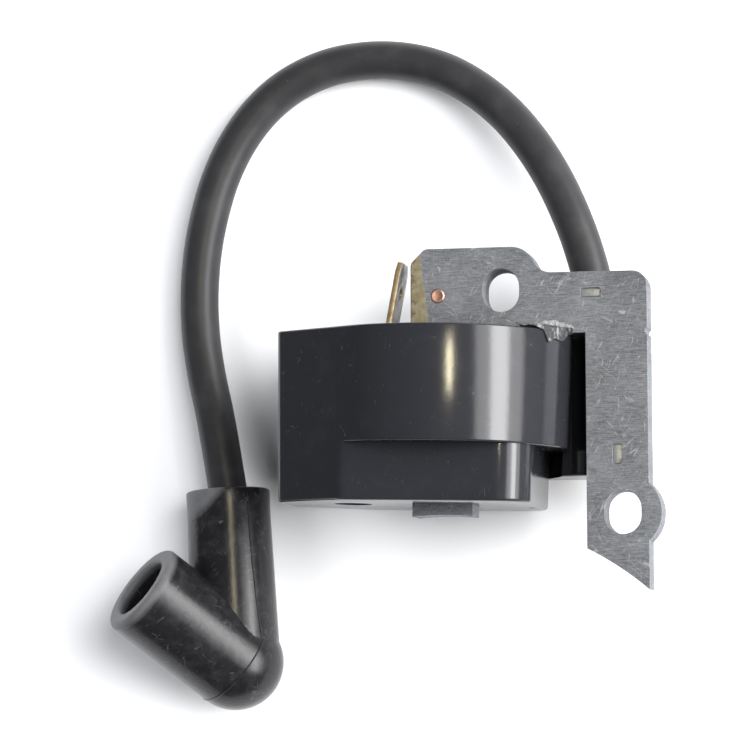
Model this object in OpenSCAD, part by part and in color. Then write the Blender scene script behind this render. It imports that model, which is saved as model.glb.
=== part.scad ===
// Ignition coil for a small two-stroke engine: a laminated steel core with two
// mounting slots, a potted coil housing with its windings and electronics, a
// high-tension lead and a swivelling spark plug boot. Millimetres, +Z up.
// The origin is under the middle of the coil, on the surface that it lies on.
// Most pieces are drawn about the core leg: X across the legs, Y along them
// from the underside of the crossbar, Z from the middle of the core. The
// module on_core() moves such a drawing into the part's own frame.

/* [Core] */
// Thickness of the lamination stack
core_t = 6.0; // [5.8:0.1:6.2]
// Width of the leg that passes through the windings
leg_w = 8.7; // [8.5:0.1:8.8]
// Inner edge of the free leg, from the core leg's axis
free_leg_in = 20.6; // [20.5:0.1:21]
// Outer edge of the free leg, from the core leg's axis
free_leg_out = 29.4; // [29.2:0.1:29.6]
// Height of the crossbar at the free leg
bar_h = 8.7; // [8.4:0.1:9]
// Height of the crossbar's lobe around the upper slot
lobe_h = 12.5; // [12:0.1:13]
// Lowest point of the free leg, below the crossbar
free_leg_len = 36.5; // [36:0.1:37]
// Radius of the flywheel that the two pole faces follow
flywheel_r = 45; // [44:0.5:47]
// Width of each mounting slot
slot_w = 5.2; // [5:0.1:5.4]
// Length of each mounting slot, along the legs
slot_l = 6.2; // [6:0.1:6.6]

/* [Housing] */
// Radius of the housing about the core leg
body_r = 18.3; // [18.2:0.1:18.4]
// Distance from the core leg's axis to the housing's narrow end
body_left = 22.95; // [22.9:0.05:23]
// Half the thickness of the narrow end
end_half = 6.5; // [6:0.1:7]
// Height of the round upper part of the housing
body_h = 16.3; // [16:0.1:16.6]
// Whole height of the housing
box_h = 24.4; // [24.3:0.1:24.6]
// Half the thickness of the narrower lower part
box_half = 13.6; // [13.4:0.1:13.8]
// Wall of the housing
wall = 1.6; // [1.4:0.1:1.8]
// Radius of the tower that holds the lead
tower_r = 5.4; // [5.2:0.1:5.6]

/* [Lead and boot] */
// Diameter of the high-tension lead
lead_d = 5.7; // [5.6:0.1:5.8]
// Outer radius of the boot's sleeve at its mouth
sleeve_r = 6.05; // [5.9:0.05:6.1]
// Outer radius of the boot's plug arm
arm_r = 7.05; // [6.9:0.05:7.1]
// Radius of the socket for the spark plug
socket_r = 4.55; // [4.4:0.05:4.7]
// Depth of the socket
socket_depth = 12.5; // [12:0.1:12.8]

/* [Hidden] */

$fn = 96;
eps = 0.01;

// The coil's own box, which sets where its origin lies. The moulded body stands
// a little askew on the core leg, so its foot is its leftmost point.
ear_r = 5.5;
slot_low = [25.7, -25.5];
slot_high = [8.6, 6.3];
body_turn = 1.3;
body_shift = [-0.1, 0.3];
foot_left = body_left * cos(body_turn) + box_h * sin(body_turn) - body_shift.x;
x_mid = (slot_low.x + ear_r - foot_left) / 2;
y_mid = (lobe_h - free_leg_len) / 2;

// Core
lobe_left = -4.45;
lobe_chamfer = 1.9;
shoulder_x = 10.0;
hollow_x = 15.8;
shoulder_r = 3.6;
shoulder_turn = 2 * atan2(lobe_h - bar_h, hollow_x - shoulder_x);
hollow_r = (hollow_x - shoulder_x) / sin(shoulder_turn) - shoulder_r;
bar_corner_r = 2.1;
arc_y = -free_leg_len - sqrt(pow(flywheel_r, 2) - pow(free_leg_out, 2));
core_tip_y = arc_y + flywheel_r;
dimple_l = 2.8;
dimple_w = 1.3;
dimple_deep = 0.3;
dimple_high = [21.4, 5.7];
dimple_low = [25.0, -17.3];
pin_r = 1.03;
pin_back = 0.9;
pin_front = 0.1;
pin_at = [-0.55, 5.7];

// Housing
end_fillet = 1.2;
box_right = 14.4;
box_corner_r = 5;
tower_x = 20.9;
tower_z = -8.8;
tower_top = 2.0;
tower_low = -19.9;
tower_bore_r = 3.15;
tower_floor = -16.4;
web_front = -4.5;
web_back = -13.1;
floor_y = -body_h + wall;
box_floor_y = -box_h + wall;
leg_gap = 0.1;
resin_y = -1.2;
mark_r = 2.7;
mark_at = [-12.4, 2.0];
mark_deep = 0.9;
arrow_r = 1.1;
arrow_deep = 0.4;
arrow_at = [12.6, -4.6];
web_left = 8;

// Windings, all round and about the core leg
bobbin_r = 6.3;
primary_r = 8.8;
tape_r = 9.0;
secondary_in = 9.2;
secondary_tube_r = 10.1;
secondary_r = 14.8;
secondary_flange_r = 15.6;
trigger_r = 9.8;
low_flange_r = 10.5;
bobbin_top = -2.6;
primary_top = -3.4;
primary_low = -14.6;
trigger_top = -15.4;
trigger_low = -21.4;
bobbin_low = -22.1;
secondary_low = -14.0;
secondary_slots = 5;
flange_t = 0.7;

// Gap between the resin and what it holds
room = 0.1;

// Board, with the power transistor, resistors and diodes on its outer face
board_x = -17.4;
board_t = 1.0;
board_half = 6.9;
board_top = -1.5;
board_low = -22.0;
chip_t = 3.2;
chip_half = 4;
chip_low = -16.4;
chip_high = -8.4;
chip_tab = 3.2;
chip_tab_t = 1;
chip_hole_r = 1.1;
chip_pin_w = 0.7;
chip_pin_t = 0.6;
chip_pins_low = -20.4;
chip_pin_pitch = 2.4;
resistor_r = 0.75;
resistor_l = 3.4;
resistor_z = 5.2;
resistor_rows = [-20.9, -19.1, -17.5];
zener_r = 0.65;
zener_l = 3;
zener_at = [-3.9, 3.4];

// The trigger transistor and the capacitor on the board's inner face
small_parts_low = -20.2;
capacitor = [5, 5.2, 4];
case_r = 1.5;
case_in = 0.7;
case_z = -1.9;
case_low = -19.9;
case_l = 4.6;

// The primary winding's two ends, which run over the bobbins to the board
lead_y = -2.3;
lead_z = 4.6;
lead_r = 0.3;
lead_right = -7.7;

// Kill tab
tab_x = -8.45;
tab_t = 0.8;
tab_w = 6.3;
tab_top = 11.0;
tab_lean = 10.5;
tab_hole_r = 0.9;
tab_hole_in = 4.4;
tab_foot_y = -2.4;
tab_foot_half = 2;
tab_corner = 1.6;

// Bare wire from the resin to the copper plug, behind the crossbar
wire_r = 0.32;
wire_left = -6.2;
wire_low = -2.2;
wire_z = -core_t / 2 - wire_r - 0.12;

// Lead ends
core_wire_r = 0.95;
spike_hole_r = 0.6;
root_low = -12.0;
link_y = -14.2;
link_r = 0.5;
link_left = 13.1;
spike_l = 5;
spike_r = 0.5;
spike_foot_r = 0.9;

// Torn film of resin over the corner of the housing and the crossbar
flash_left = 15.3;
flash_right = 18.3;
flash_t = 0.25;
flash_drop = 1.6;
flash_rise = 1.8;

// Boot, by the three points where its two arms meet and end
elbow = [-37.0, -34.0, 7.05];
mouth = [-38.4, -8.7, 6.05];
rim = [-49.4, -23.15, 15.8];
lip = 0.6;
end_flat = 0.12;
sleeve_low_r = 6.6;
sleeve_bore_r = lead_d / 2 + 0.05;
tip_in = 16;
cavity_r = 3.4;
coil_r = 2.6;
coil_wire_r = 0.42;
coil_turns = 4;
coil_pitch = 1.1;
coil_start = 1.2;

// The lead's centre line, from the tower's top to the boot's mouth
lead_route = [
  [17.1, 14.0, 9.5],
  [16.6, 19.9, 9.4],
  [15.1, 25.7, 8.9],
  [13.0, 31.3, 8.2],
  [10.4, 36.7, 7.3],
  [7.2, 41.8, 6.3],
  [3.4, 46.4, 5.4],
  [-1.1, 50.3, 4.5],
  [-6.2, 53.3, 3.7],
  [-11.9, 55.0, 3.2],
  [-17.9, 55.4, 2.95],
  [-23.8, 54.5, 2.9],
  [-29.3, 52.1, 2.9],
  [-33.8, 48.5, 2.9],
  [-37.4, 43.9, 2.9],
  [-40.1, 38.5, 2.9],
  [-41.9, 32.6, 2.9],
  [-43.0, 26.6, 2.9],
  [-43.4, 20.5, 2.95],
  [-43.1, 14.5, 3.2],
  [-42.1, 8.6, 3.8],
  [-40.7, 2.9, 4.7],
  [-39.5, -2.8, 5.5],
  [-38.4, -8.7, 6.05]];
lead_sides = 12;

// Moves a drawing made about the core leg into the part's frame
module on_core() {
  translate([-x_mid, -y_mid, body_r]) children();
}

// Turns a drawing in X and Z, extruded from y_low to y_high, to stand along Y
module upright(y_low, y_high) {
  translate([0, y_low, 0])
    rotate([-90, 0, 0])
      linear_extrude(y_high - y_low)
        children();
}

// A ring about the core leg's axis between two heights
module ring(y_low, y_high, r_in, r_out) {
  upright(y_low, y_high)
    difference() {
      circle(r_out);
      circle(r_in);
    }
}

// A round pin along Y at a place in X and Z
module post(x, z, r, y_low, y_high) {
  translate([x, 0, z])
    upright(y_low, y_high)
      circle(r);
}

function unit(v) = v / norm(v);

// The housing's outline: a circle about the core leg and a narrow rounded end,
// joined by the straight lines that touch both
module teardrop(r, left, half, fillet) {
  cx = -left + fillet;
  cz = half - fillet;
  normal = atan2(cz, cx) - acos((r - fillet) / norm([cx, cz]));
  touch = [cos(normal), sin(normal)];
  big = r * touch;
  small = [cx, cz] + fillet * touch;
  circle(r);
  for (side = [-1, 1])
    translate([cx, side * cz])
      circle(fillet);
  polygon([big, small, [-left, cz], [-left, -cz],
    [small.x, -small.y], [big.x, -big.y]]);
}

// Half thickness of the narrow end when the outline is drawn in by a wall
function inner_half(w) =
  let (slope = 34.2)
  end_half + w * tan(slope) - w / cos(slope);

module body_outline() {
  teardrop(body_r, body_left, end_half, end_fillet);
}

module cavity_outline() {
  teardrop(body_r - wall, body_left - wall, inner_half(wall), 0.4);
}

// A long box whose two right-hand corners are rounded
module round_box(right, half, r) {
  translate([-body_left - 1, -half])
    square([right - r + body_left + 1, 2 * half]);
  translate([right - r - 1, -half + r])
    square([r + 1, 2 * (half - r)]);
  for (side = [-1, 1])
    translate([right - r, side * (half - r)])
      circle(r);
}

module stadium(w, l) {
  straight = (l - w) / 2;
  for (side = [-1, 1])
    translate([0, side * straight])
      circle(w / 2);
  square([w, l - w], center = true);
}

function arc(centre, r, from, to, steps) =
  [for (i = [0 : steps])
    let (a = from + (to - from) * i / steps)
    centre + r * [cos(a), sin(a)]];

// The stamping's outline, clockwise from the foot of the lobe's left edge
module core_outline() {
  turn = shoulder_turn;
  ear = acos((free_leg_out - slot_low.x) / ear_r);
  corner = [free_leg_out - bar_corner_r, bar_h - bar_corner_r];
  difference() {
    polygon(concat(
      [[lobe_left, 0], [lobe_left, lobe_h - lobe_chamfer], [lobe_left + lobe_chamfer, lobe_h]],
      arc([shoulder_x, lobe_h - shoulder_r], shoulder_r, 90, 90 - turn, 9),
      arc([hollow_x, bar_h + hollow_r], hollow_r, 270 - turn, 270, 8),
      arc(corner, bar_corner_r, 90, 0, 8),
      arc(slot_low, ear_r, ear, -ear, 12),
      [[free_leg_out, -free_leg_len - 1], [free_leg_in, -free_leg_len - 1],
        [free_leg_in, 0], [leg_w / 2, 0], [leg_w / 2, core_tip_y - 1],
        [-leg_w / 2, core_tip_y - 1], [-leg_w / 2, 0]]));
    translate([0, arc_y])
      circle(flywheel_r, $fn = 360);
    for (at = [slot_low, slot_high])
      translate(at)
        stadium(slot_w, slot_l);
    translate(pin_at)
      circle(pin_r);
    translate([free_leg_out + 0.15, 0.1])
      circle(0.5);
  }
}

module core_laminations() {
  color("silver")
    on_core()
      difference() {
        translate([0, 0, -core_t / 2])
          linear_extrude(core_t)
            core_outline();
        translate([dimple_high.x, dimple_high.y, core_t / 2])
          cube([dimple_l, dimple_w, 2 * dimple_deep], center = true);
        translate([dimple_low.x, dimple_low.y, core_t / 2])
          cube([dimple_w, dimple_l, 2 * dimple_deep], center = true);
      }
}

// Copper plug in the crossbar that earths the module
module ground_pin() {
  color("chocolate")
    on_core()
      translate([pin_at.x, pin_at.y, -core_t / 2 - pin_back])
        cylinder(r = pin_r, h = core_t + pin_back + pin_front);
}

// Wire from the resin up the back of the crossbar to the copper plug
module ground_wire() {
  z = wire_z;
  line = [[wire_left, wire_low, z], [-6.0, -0.6, z], [-5.4, 1.4, z], [-4.0, 3.6, z],
    [pin_at.x - 1.9, pin_at.y - 0.7, z], [pin_at.x - 0.95, pin_at.y, z]];
  last = len(line) - 1;
  color("chocolate")
    on_core()
      swept(line, [for (i = [0 : last]) way_at(line, i)], wire_r, 8, [0, 0, 1]);
}

// Room for the wire where it leaves the resin
module wire_room() {
  translate([wire_left - wire_r, wire_low - wire_r - room, wire_z - wire_r - room])
    cube([5 * wire_r, 3, 2 * wire_r + 2 * room]);
}

module lead_channel(r) {
  translate([link_left, link_y, tower_z])
    rotate([0, 90, 0])
      cylinder(r = r, h = tower_x - link_left);
}

module cavity() {
  upright(floor_y, eps)
    cavity_outline();
  upright(box_floor_y, floor_y + eps)
    intersection() {
      cavity_outline();
      round_box(box_right - wall, box_half - wall, box_corner_r - wall);
    }
}

module leg_hole(y_low, y_high) {
  translate([-leg_w / 2 - leg_gap, y_low, -core_t / 2 - leg_gap])
    cube([leg_w + 2 * leg_gap, y_high - y_low, core_t + 2 * leg_gap]);
}

// Sets the moulded body and its cavity askew on the core leg
module askew() {
  translate(body_shift)
    rotate(-body_turn)
      children();
}

module moulded_body() {
  upright(-body_h, 0)
    body_outline();
  upright(-box_h, -body_h + eps)
    intersection() {
      body_outline();
      round_box(box_right, box_half, box_corner_r);
    }
}

// Recess and small triangle in the housing's bottom
module foot_marks() {
  post(mark_at[0], mark_at[1], mark_r, -box_h - 1, -box_h + mark_deep);
  translate([arrow_at[0], -box_h, arrow_at[1]])
    rotate([90, 0, 0])
      cylinder(r = arrow_r, h = 2 * arrow_deep, center = true, $fn = 3);
}

module housing() {
  color([0.06, 0.06, 0.07])
    on_core()
      difference() {
        union() {
          askew()
            moulded_body();
          translate([web_left, tower_low, web_back])
            cube([tower_x - web_left, -tower_low, web_front - web_back]);
          post(tower_x, tower_z, tower_r, tower_low, tower_top);
        }
        askew() {
          cavity();
          foot_marks();
        }
        leg_hole(-box_h - 1, 0);
        post(tower_x, tower_z, tower_bore_r, tower_floor, tower_top + 1);
        lead_channel(link_r + 0.3);
      }
}

// Room for the board and the parts on both of its faces
module board_room() {
  outer = chip_t + resistor_r;
  translate([board_x - outer, board_low - room, -resistor_z])
    cube([outer + room, lead_y - board_low, 2 * resistor_z]);
  translate([board_x - 2 * resistor_r - room, board_low - room, -board_half])
    cube([2 * resistor_r + 2 * room, chip_low - board_low, 2 * board_half]);
  translate([board_x - room, board_low - room, -board_half - room])
    cube([board_t + 2 * room, board_top - board_low + 2 * room, 2 * board_half + 2 * room]);
  translate([board_x + board_t, small_parts_low - 2 * room, -capacitor.z - room])
    cube([capacitor.x + 2 * room, capacitor.y + 4 * room, 2 * capacitor.z + 2 * room]);
}

// The resin is cast around everything inside, up to just below the rim
module potting() {
  color([0.13, 0.12, 0.11])
    on_core()
      difference() {
        askew()
          intersection() {
            cavity();
            translate([-body_left, -box_h, -body_r])
              cube([2 * body_left, box_h + resin_y, 2 * body_r]);
          }
        ring(secondary_low - room, bobbin_top + room, 0, secondary_flange_r + room);
        ring(bobbin_low - room, secondary_low, 0, low_flange_r + room);
        leg_hole(-box_h, 1);
        board_room();
        tab_solid(room);
        tab_foot(room);
        lead_pair(lead_r + 0.02, room);
        lead_channel(link_r + room);
        wire_room();
      }
}

module primary_bobbin() {
  color("white")
    on_core()
      difference() {
        union() {
          ring(bobbin_low, bobbin_top, 0, bobbin_r);
          ring(primary_top, bobbin_top, 0, tape_r);
          ring(trigger_top, primary_low, 0, low_flange_r);
          ring(bobbin_low, trigger_low, 0, low_flange_r);
        }
        leg_hole(bobbin_low - 1, bobbin_top + 1);
      }
}

module primary_winding() {
  color("peru")
    on_core()
      ring(primary_low, primary_top, bobbin_r, primary_r);
}

module winding_tape() {
  color("gold")
    on_core()
      ring(primary_low, primary_top, primary_r, tape_r);
}

module trigger_winding() {
  color("sienna")
    on_core()
      ring(trigger_low, trigger_top, bobbin_r, trigger_r);
}

secondary_pitch = (bobbin_top - secondary_low - flange_t) / secondary_slots;

module secondary_bobbin() {
  color("ivory")
    on_core() {
      ring(secondary_low, bobbin_top, secondary_in, secondary_tube_r);
      for (i = [0 : secondary_slots])
        ring(secondary_low + i * secondary_pitch,
          secondary_low + i * secondary_pitch + flange_t,
          secondary_in, secondary_flange_r);
    }
}

module secondary_winding() {
  color("darkgoldenrod")
    on_core()
      for (i = [0 : secondary_slots - 1])
        ring(secondary_low + i * secondary_pitch + flange_t,
          secondary_low + (i + 1) * secondary_pitch,
          secondary_tube_r, secondary_r);
}

// A drill along X through the board and what is on it
module drill(y, z, r) {
  translate([board_x - chip_t, y, z])
    rotate([0, 90, 0])
      cylinder(r = r, h = 2 * chip_t, $fn = 24);
}

module control_board() {
  color("darkgreen")
    on_core()
      difference() {
        translate([board_x, board_low, -board_half])
          cube([board_t, board_top - board_low, 2 * board_half]);
        for (side = [-1, 1])
          drill(lead_y, side * lead_z, lead_r + 0.2);
      }
}

// Plastic body, metal back tab and three pins, flat against the board
module power_transistor() {
  color([0.1, 0.1, 0.1])
    on_core() {
      translate([board_x - chip_t, chip_low, -chip_half])
        cube([chip_t, chip_high - chip_low, 2 * chip_half]);
      difference() {
        translate([board_x - chip_tab_t, chip_high, -chip_half])
          cube([chip_tab_t, chip_tab, 2 * chip_half]);
        drill(chip_high + chip_tab / 2, 0, chip_hole_r);
      }
      for (side = [-1, 0, 1])
        translate([board_x - chip_tab_t, chip_pins_low, side * chip_pin_pitch - chip_pin_w / 2])
          cube([chip_pin_t, chip_low - chip_pins_low, chip_pin_w]);
    }
}

// Round case whose flat side is on the board
module trigger_transistor() {
  color([0.12, 0.12, 0.12])
    on_core()
      translate([board_x + board_t, case_low, case_z])
        rotate([-90, 0, 0])
          linear_extrude(case_l)
            intersection() {
              translate([case_in, 0])
                circle(case_r);
              translate([0, -case_r])
                square([case_in + case_r, 2 * case_r]);
            }
}

module film_capacitor() {
  color("firebrick")
    on_core()
      translate([board_x + board_t, small_parts_low, 0])
        cube(capacitor);
}

module resistors() {
  color("tan")
    on_core()
      for (y = resistor_rows)
        translate([board_x - resistor_r - 0.05, y, y > chip_low - 1.2 ? -resistor_z : resistor_z])
          cylinder(r = resistor_r, h = resistor_l, $fn = 32, center = true);
}

module zener_diodes() {
  color("orangered")
    on_core()
      for (side = [-1, 1])
        translate([board_x - zener_r - 0.05, zener_at[0], side * zener_at[1]])
          cylinder(r = zener_r, h = zener_l, $fn = 32, center = true);
}

module lead_pair(r, extra) {
  left = board_x + board_t / 2 - extra;
  for (side = [-1, 1])
    translate([left, lead_y, side * lead_z])
      rotate([0, 90, 0])
        cylinder(r = r, h = lead_right + extra - left, $fn = 24);
}

module primary_leads() {
  color("peru")
    on_core()
      lead_pair(lead_r, 0);
}

// Upright blade of the kill terminal, leaning towards the core
module tab_solid(grow) {
  corner = tab_corner;
  translate([tab_x, tab_foot_y, 0])
    rotate([0, 90, -tab_lean])
      translate([0, 0, -tab_t / 2 - grow])
        linear_extrude(tab_t + 2 * grow)
          difference() {
            polygon([
              [-tab_w / 2 - grow, -grow], [tab_w / 2 + grow, -grow],
              [tab_w / 2 + grow, tab_top - tab_foot_y - corner],
              [tab_w / 2 - corner * 0.55, tab_top - tab_foot_y],
              [-tab_w / 2 + corner * 0.55, tab_top - tab_foot_y],
              [-tab_w / 2 - grow, tab_top - tab_foot_y - corner]]);
            if (grow == 0)
              translate([0, tab_top - tab_foot_y - tab_hole_in])
                circle(tab_hole_r);
          }
}

// Foot of the blade, in the resin, from the board to the blade
module tab_foot(grow) {
  left = board_x + board_t - grow;
  translate([left, tab_foot_y - grow, -tab_foot_half - grow])
    cube([tab_x + 0.3 - left, tab_t + 2 * grow, 2 * tab_foot_half + 2 * grow]);
}

module kill_tab() {
  color("darkkhaki")
    on_core() {
      tab_solid(0);
      tab_foot(0);
    }
}

// Brass spike in the tower, with the link that reaches it from the winding
module hv_contact() {
  color("goldenrod")
    on_core() {
      lead_channel(link_r);
      post(tower_x, tower_z, spike_foot_r, tower_floor, root_low);
      post(tower_x, tower_z, spike_r, root_low - eps, root_low + spike_l);
    }
}

// Torn film of resin left where the housing meets the crossbar: a skirt on the
// housing's wall, a web over its rim and a patch on the crossbar's face
module resin_flash() {
  face = core_t / 2 + 0.05;
  color("gray")
    on_core() askew() {
      intersection() {
        union() {
          ring(-flash_drop, flash_t, body_r + 0.03, body_r + flash_t);
          ring(0.03, flash_t, 0, body_r + flash_t);
        }
        translate([flash_left, -flash_drop, face])
          cube([flash_right - flash_left, 2 * flash_drop, body_r]);
      }
      translate([flash_left, 0.03, face])
        cube([flash_right - flash_left, flash_rise, flash_t]);
    }
}

module lead_root() {
  color([0.05, 0.05, 0.05])
    on_core()
      translate([tower_x, 0, tower_z])
        ring(root_low, tower_top, core_wire_r, lead_d / 2);
}

module lead_root_core() {
  color("chocolate")
    on_core()
      difference() {
        post(tower_x, tower_z, core_wire_r, root_low, tower_top);
        post(tower_x, tower_z, spike_hole_r, root_low - 1, root_low + spike_l + 0.2);
      }
}

module lead_adhesive() {
  color("dimgray")
    on_core()
      translate([tower_x, 0, tower_z])
        ring(root_low, tower_top - 0.4, lead_d / 2, tower_bore_r);
}

// A tube of rings set square to a line of points. The sides vector is carried
// along the line, so the tube doesn't twist.
function way_at(p, i) =
  unit(p[min(i + 1, len(p) - 1)] - p[max(i - 1, 0)]);

function carried(p, ways, i, side) =
  i == 0 ? unit(side - (side * ways[0]) * ways[0])
         : let (last = carried(p, ways, i - 1, side))
           unit(last - (last * ways[i]) * ways[i]);

module swept(p, ways, r, n, side) {
  last = len(p) - 1;
  points = [for (i = [0 : last])
    let (u = carried(p, ways, i, side), v = cross(ways[i], u))
    for (k = [0 : n - 1])
      p[i] + r * (cos(360 * k / n) * u + sin(360 * k / n) * v)];
  sides = [for (i = [0 : last - 1])
    for (k = [0 : n - 1])
      [i * n + k, i * n + (k + 1) % n, (i + 1) * n + (k + 1) % n, (i + 1) * n + k]];
  polyhedron(
    points = points,
    faces = concat(
      [[for (k = [n - 1 : -1 : 0]) k]],
      [for (f = sides) [f[0], f[1], f[2], f[3]]],
      [[for (k = [0 : n - 1]) last * n + k]]),
    convexity = 8);
}

sleeve_way = unit(mouth - elbow);
arm_way = unit(rim - elbow);
sleeve_len = norm(mouth - elbow);
arm_len = norm(rim - elbow);

module hv_lead() {
  last = len(lead_route) - 1;
  ways = [for (i = [0 : last])
    i == 0 ? [0, 1, 0] : i == last ? -sleeve_way : way_at(lead_route, i)];
  color([0.05, 0.05, 0.05])
    swept(lead_route, ways, lead_d / 2, lead_sides, [0, 0, 1]);
}

// Stands a drawing made along +Z on a point, facing along a direction
module facing(at, way) {
  side = unit(cross(way, cross(sleeve_way, arm_way)));
  across = cross(way, side);
  multmatrix([
    [side.x, across.x, way.x, at.x],
    [side.y, across.y, way.y, at.y],
    [side.z, across.z, way.z, at.z],
    [0, 0, 0, 1]])
    children();
}

module lead_tip() {
  color([0.05, 0.05, 0.05])
    facing(mouth, -sleeve_way)
      difference() {
        cylinder(r = lead_d / 2, h = tip_in);
        translate([0, 0, -1])
          cylinder(r = core_wire_r, h = tip_in + 2);
      }
}

module lead_tip_core() {
  color("chocolate")
    facing(mouth, -sleeve_way)
      difference() {
        cylinder(r = core_wire_r, h = tip_in);
        translate([0, 0, tip_in - 6])
          cylinder(r = spike_hole_r, h = 7);
      }
}

// Round bar with a ball end at the elbow and a small bevel at its open end.
// The ball ends in a small moulded flat.
module boot_arm() {
  rotate(90)
    rotate_extrude()
      intersection() {
        union() {
          circle(arm_r);
          polygon([[0, 0], [arm_r, 0], [arm_r, arm_len - lip],
            [arm_r - lip / 2, arm_len], [0, arm_len]]);
        }
        translate([0, end_flat - arm_r])
          square([arm_r, arm_len + arm_r - end_flat]);
      }
}

module plug_boot() {
  color([0.07, 0.07, 0.07])
    difference() {
      union() {
        facing(elbow, sleeve_way)
          rotate_extrude()
            polygon([[0, 0], [sleeve_low_r, 0], [sleeve_r, sleeve_len - lip],
              [sleeve_r - lip / 2, sleeve_len - 0.1], [0, sleeve_len - 0.1]]);
        facing(elbow, arm_way)
          boot_arm();
      }
      facing(elbow, sleeve_way)
        cylinder(r = sleeve_bore_r, h = sleeve_len + 1);
      facing(elbow, arm_way) {
        translate([0, 0, -2])
          cylinder(r = cavity_r, h = arm_len);
        translate([0, 0, arm_len - socket_depth])
          cylinder(r = socket_r, h = socket_depth + 1);
      }
    }
}

// Coiled wire clip on the plug arm's axis, whose tail enters the lead's end
module plug_terminal() {
  steps = 14;
  side = unit(cross(arm_way, cross(sleeve_way, arm_way)));
  across = cross(arm_way, side);
  start = elbow + coil_start * arm_way;
  turns = [for (k = [coil_turns * steps : -1 : 0])
    let (a = 360 * k / steps)
    start + coil_pitch * k / steps * arm_way
      + coil_r * (cos(a) * side + sin(a) * across)];
  tail_from = elbow + 3.2 * sleeve_way;
  tail_to = elbow + (sleeve_len - tip_in + 5) * sleeve_way;
  line = concat(turns,
    [elbow + 1.2 * side, elbow + 1.2 * sleeve_way, tail_from, tail_to]);
  last = len(line) - 1;
  ways = [for (i = [0 : last])
    i >= last - 1 ? sleeve_way : way_at(line, i)];
  color("lightsteelblue")
    swept(line, ways, coil_wire_r, 6, arm_way);
}

core_laminations();
ground_pin();
ground_wire();
housing();
potting();
primary_bobbin();
primary_winding();
winding_tape();
secondary_bobbin();
secondary_winding();
trigger_winding();
control_board();
power_transistor();
trigger_transistor();
film_capacitor();
resistors();
zener_diodes();
primary_leads();
kill_tab();
hv_contact();
resin_flash();
lead_root();
lead_root_core();
lead_adhesive();
hv_lead();
lead_tip();
lead_tip_core();
plug_boot();
plug_terminal();
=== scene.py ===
"""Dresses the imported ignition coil: core plates, housing, kill terminal, lead, boot and their finishes.

Most pieces are drawn in the coil's own working frame, in millimetres: X across the legs from the
core leg's axis, Y along the legs from the underside of the crossbar, Z from the middle of the core.
"""

import logging
import math
from dataclasses import dataclass, field
from enum import Enum
from typing import Any, Callable, Iterable, Sequence

import bmesh
import bpy
from mathutils import Matrix, Vector


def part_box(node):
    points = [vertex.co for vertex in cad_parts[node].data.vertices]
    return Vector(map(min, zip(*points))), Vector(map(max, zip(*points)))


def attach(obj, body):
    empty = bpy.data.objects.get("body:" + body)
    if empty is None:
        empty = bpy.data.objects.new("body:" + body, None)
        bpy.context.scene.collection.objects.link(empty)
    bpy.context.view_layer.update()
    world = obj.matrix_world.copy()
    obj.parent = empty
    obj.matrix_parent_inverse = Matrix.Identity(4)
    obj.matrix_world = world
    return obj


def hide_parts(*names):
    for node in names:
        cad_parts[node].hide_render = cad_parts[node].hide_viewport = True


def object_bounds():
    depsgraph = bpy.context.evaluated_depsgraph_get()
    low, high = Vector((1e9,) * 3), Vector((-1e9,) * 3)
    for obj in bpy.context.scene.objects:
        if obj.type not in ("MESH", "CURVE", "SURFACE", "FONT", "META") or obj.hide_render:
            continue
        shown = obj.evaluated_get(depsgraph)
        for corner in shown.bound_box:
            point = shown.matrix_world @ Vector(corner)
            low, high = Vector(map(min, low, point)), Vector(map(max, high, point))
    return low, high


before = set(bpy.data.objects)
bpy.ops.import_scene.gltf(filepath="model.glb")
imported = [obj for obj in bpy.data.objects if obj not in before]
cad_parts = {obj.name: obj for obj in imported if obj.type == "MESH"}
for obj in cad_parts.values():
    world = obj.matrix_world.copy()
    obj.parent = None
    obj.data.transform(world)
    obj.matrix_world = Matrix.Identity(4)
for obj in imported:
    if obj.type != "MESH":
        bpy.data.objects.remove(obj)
CAD_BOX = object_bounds()

MM = 0.001
log = logging.getLogger("ignition_coil")

Point2 = tuple[float, float]
Colour = tuple[float, float, float]


class Body(Enum):
    """The two bodies that pieces ride on."""

    COIL = "coil"
    BOOT = "boot"


# ---------------------------------------------------------------------------
# Places
# ---------------------------------------------------------------------------

LOBE_LEFT = 4.45
LOBE_HIGH = 12.5


def core_place() -> Matrix:
    """Finds the working frame from the core's box.

    Returns:
        The matrix that takes millimetres in the working frame to metres in the part's frame.
    """
    low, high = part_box("core_laminations")
    origin = Vector((low.x + LOBE_LEFT * MM, high.y - LOBE_HIGH * MM, (low.z + high.z) / 2))
    return Matrix.Translation(origin) @ Matrix.Scale(MM, 4)


ON_CORE = core_place()
ON_PART = Matrix.Scale(MM, 4)


def toward(at: Vector, way: Vector, side: Vector) -> Matrix:
    """Stands a drawing made along +Z on a point.

    Args:
        at: Where the drawing's origin goes.
        way: Where its +Z points.
        side: Roughly where its +X points.

    Returns:
        The placing matrix, in the units of the point.
    """
    z = way.normalized()
    x = (side - side.dot(z) * z).normalized()
    y = z.cross(x)
    turn = Matrix((x, y, z)).transposed().to_4x4()
    return Matrix.Translation(at) @ turn


# ---------------------------------------------------------------------------
# Outlines
# ---------------------------------------------------------------------------


def arc(centre: Point2, radius: float, start: float, end: float, steps: int) -> list[Point2]:
    """Points along an arc, with its angles in degrees."""
    angles = [math.radians(start + (end - start) * i / steps) for i in range(steps + 1)]
    return [(centre[0] + radius * math.cos(a), centre[1] + radius * math.sin(a)) for a in angles]


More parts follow.
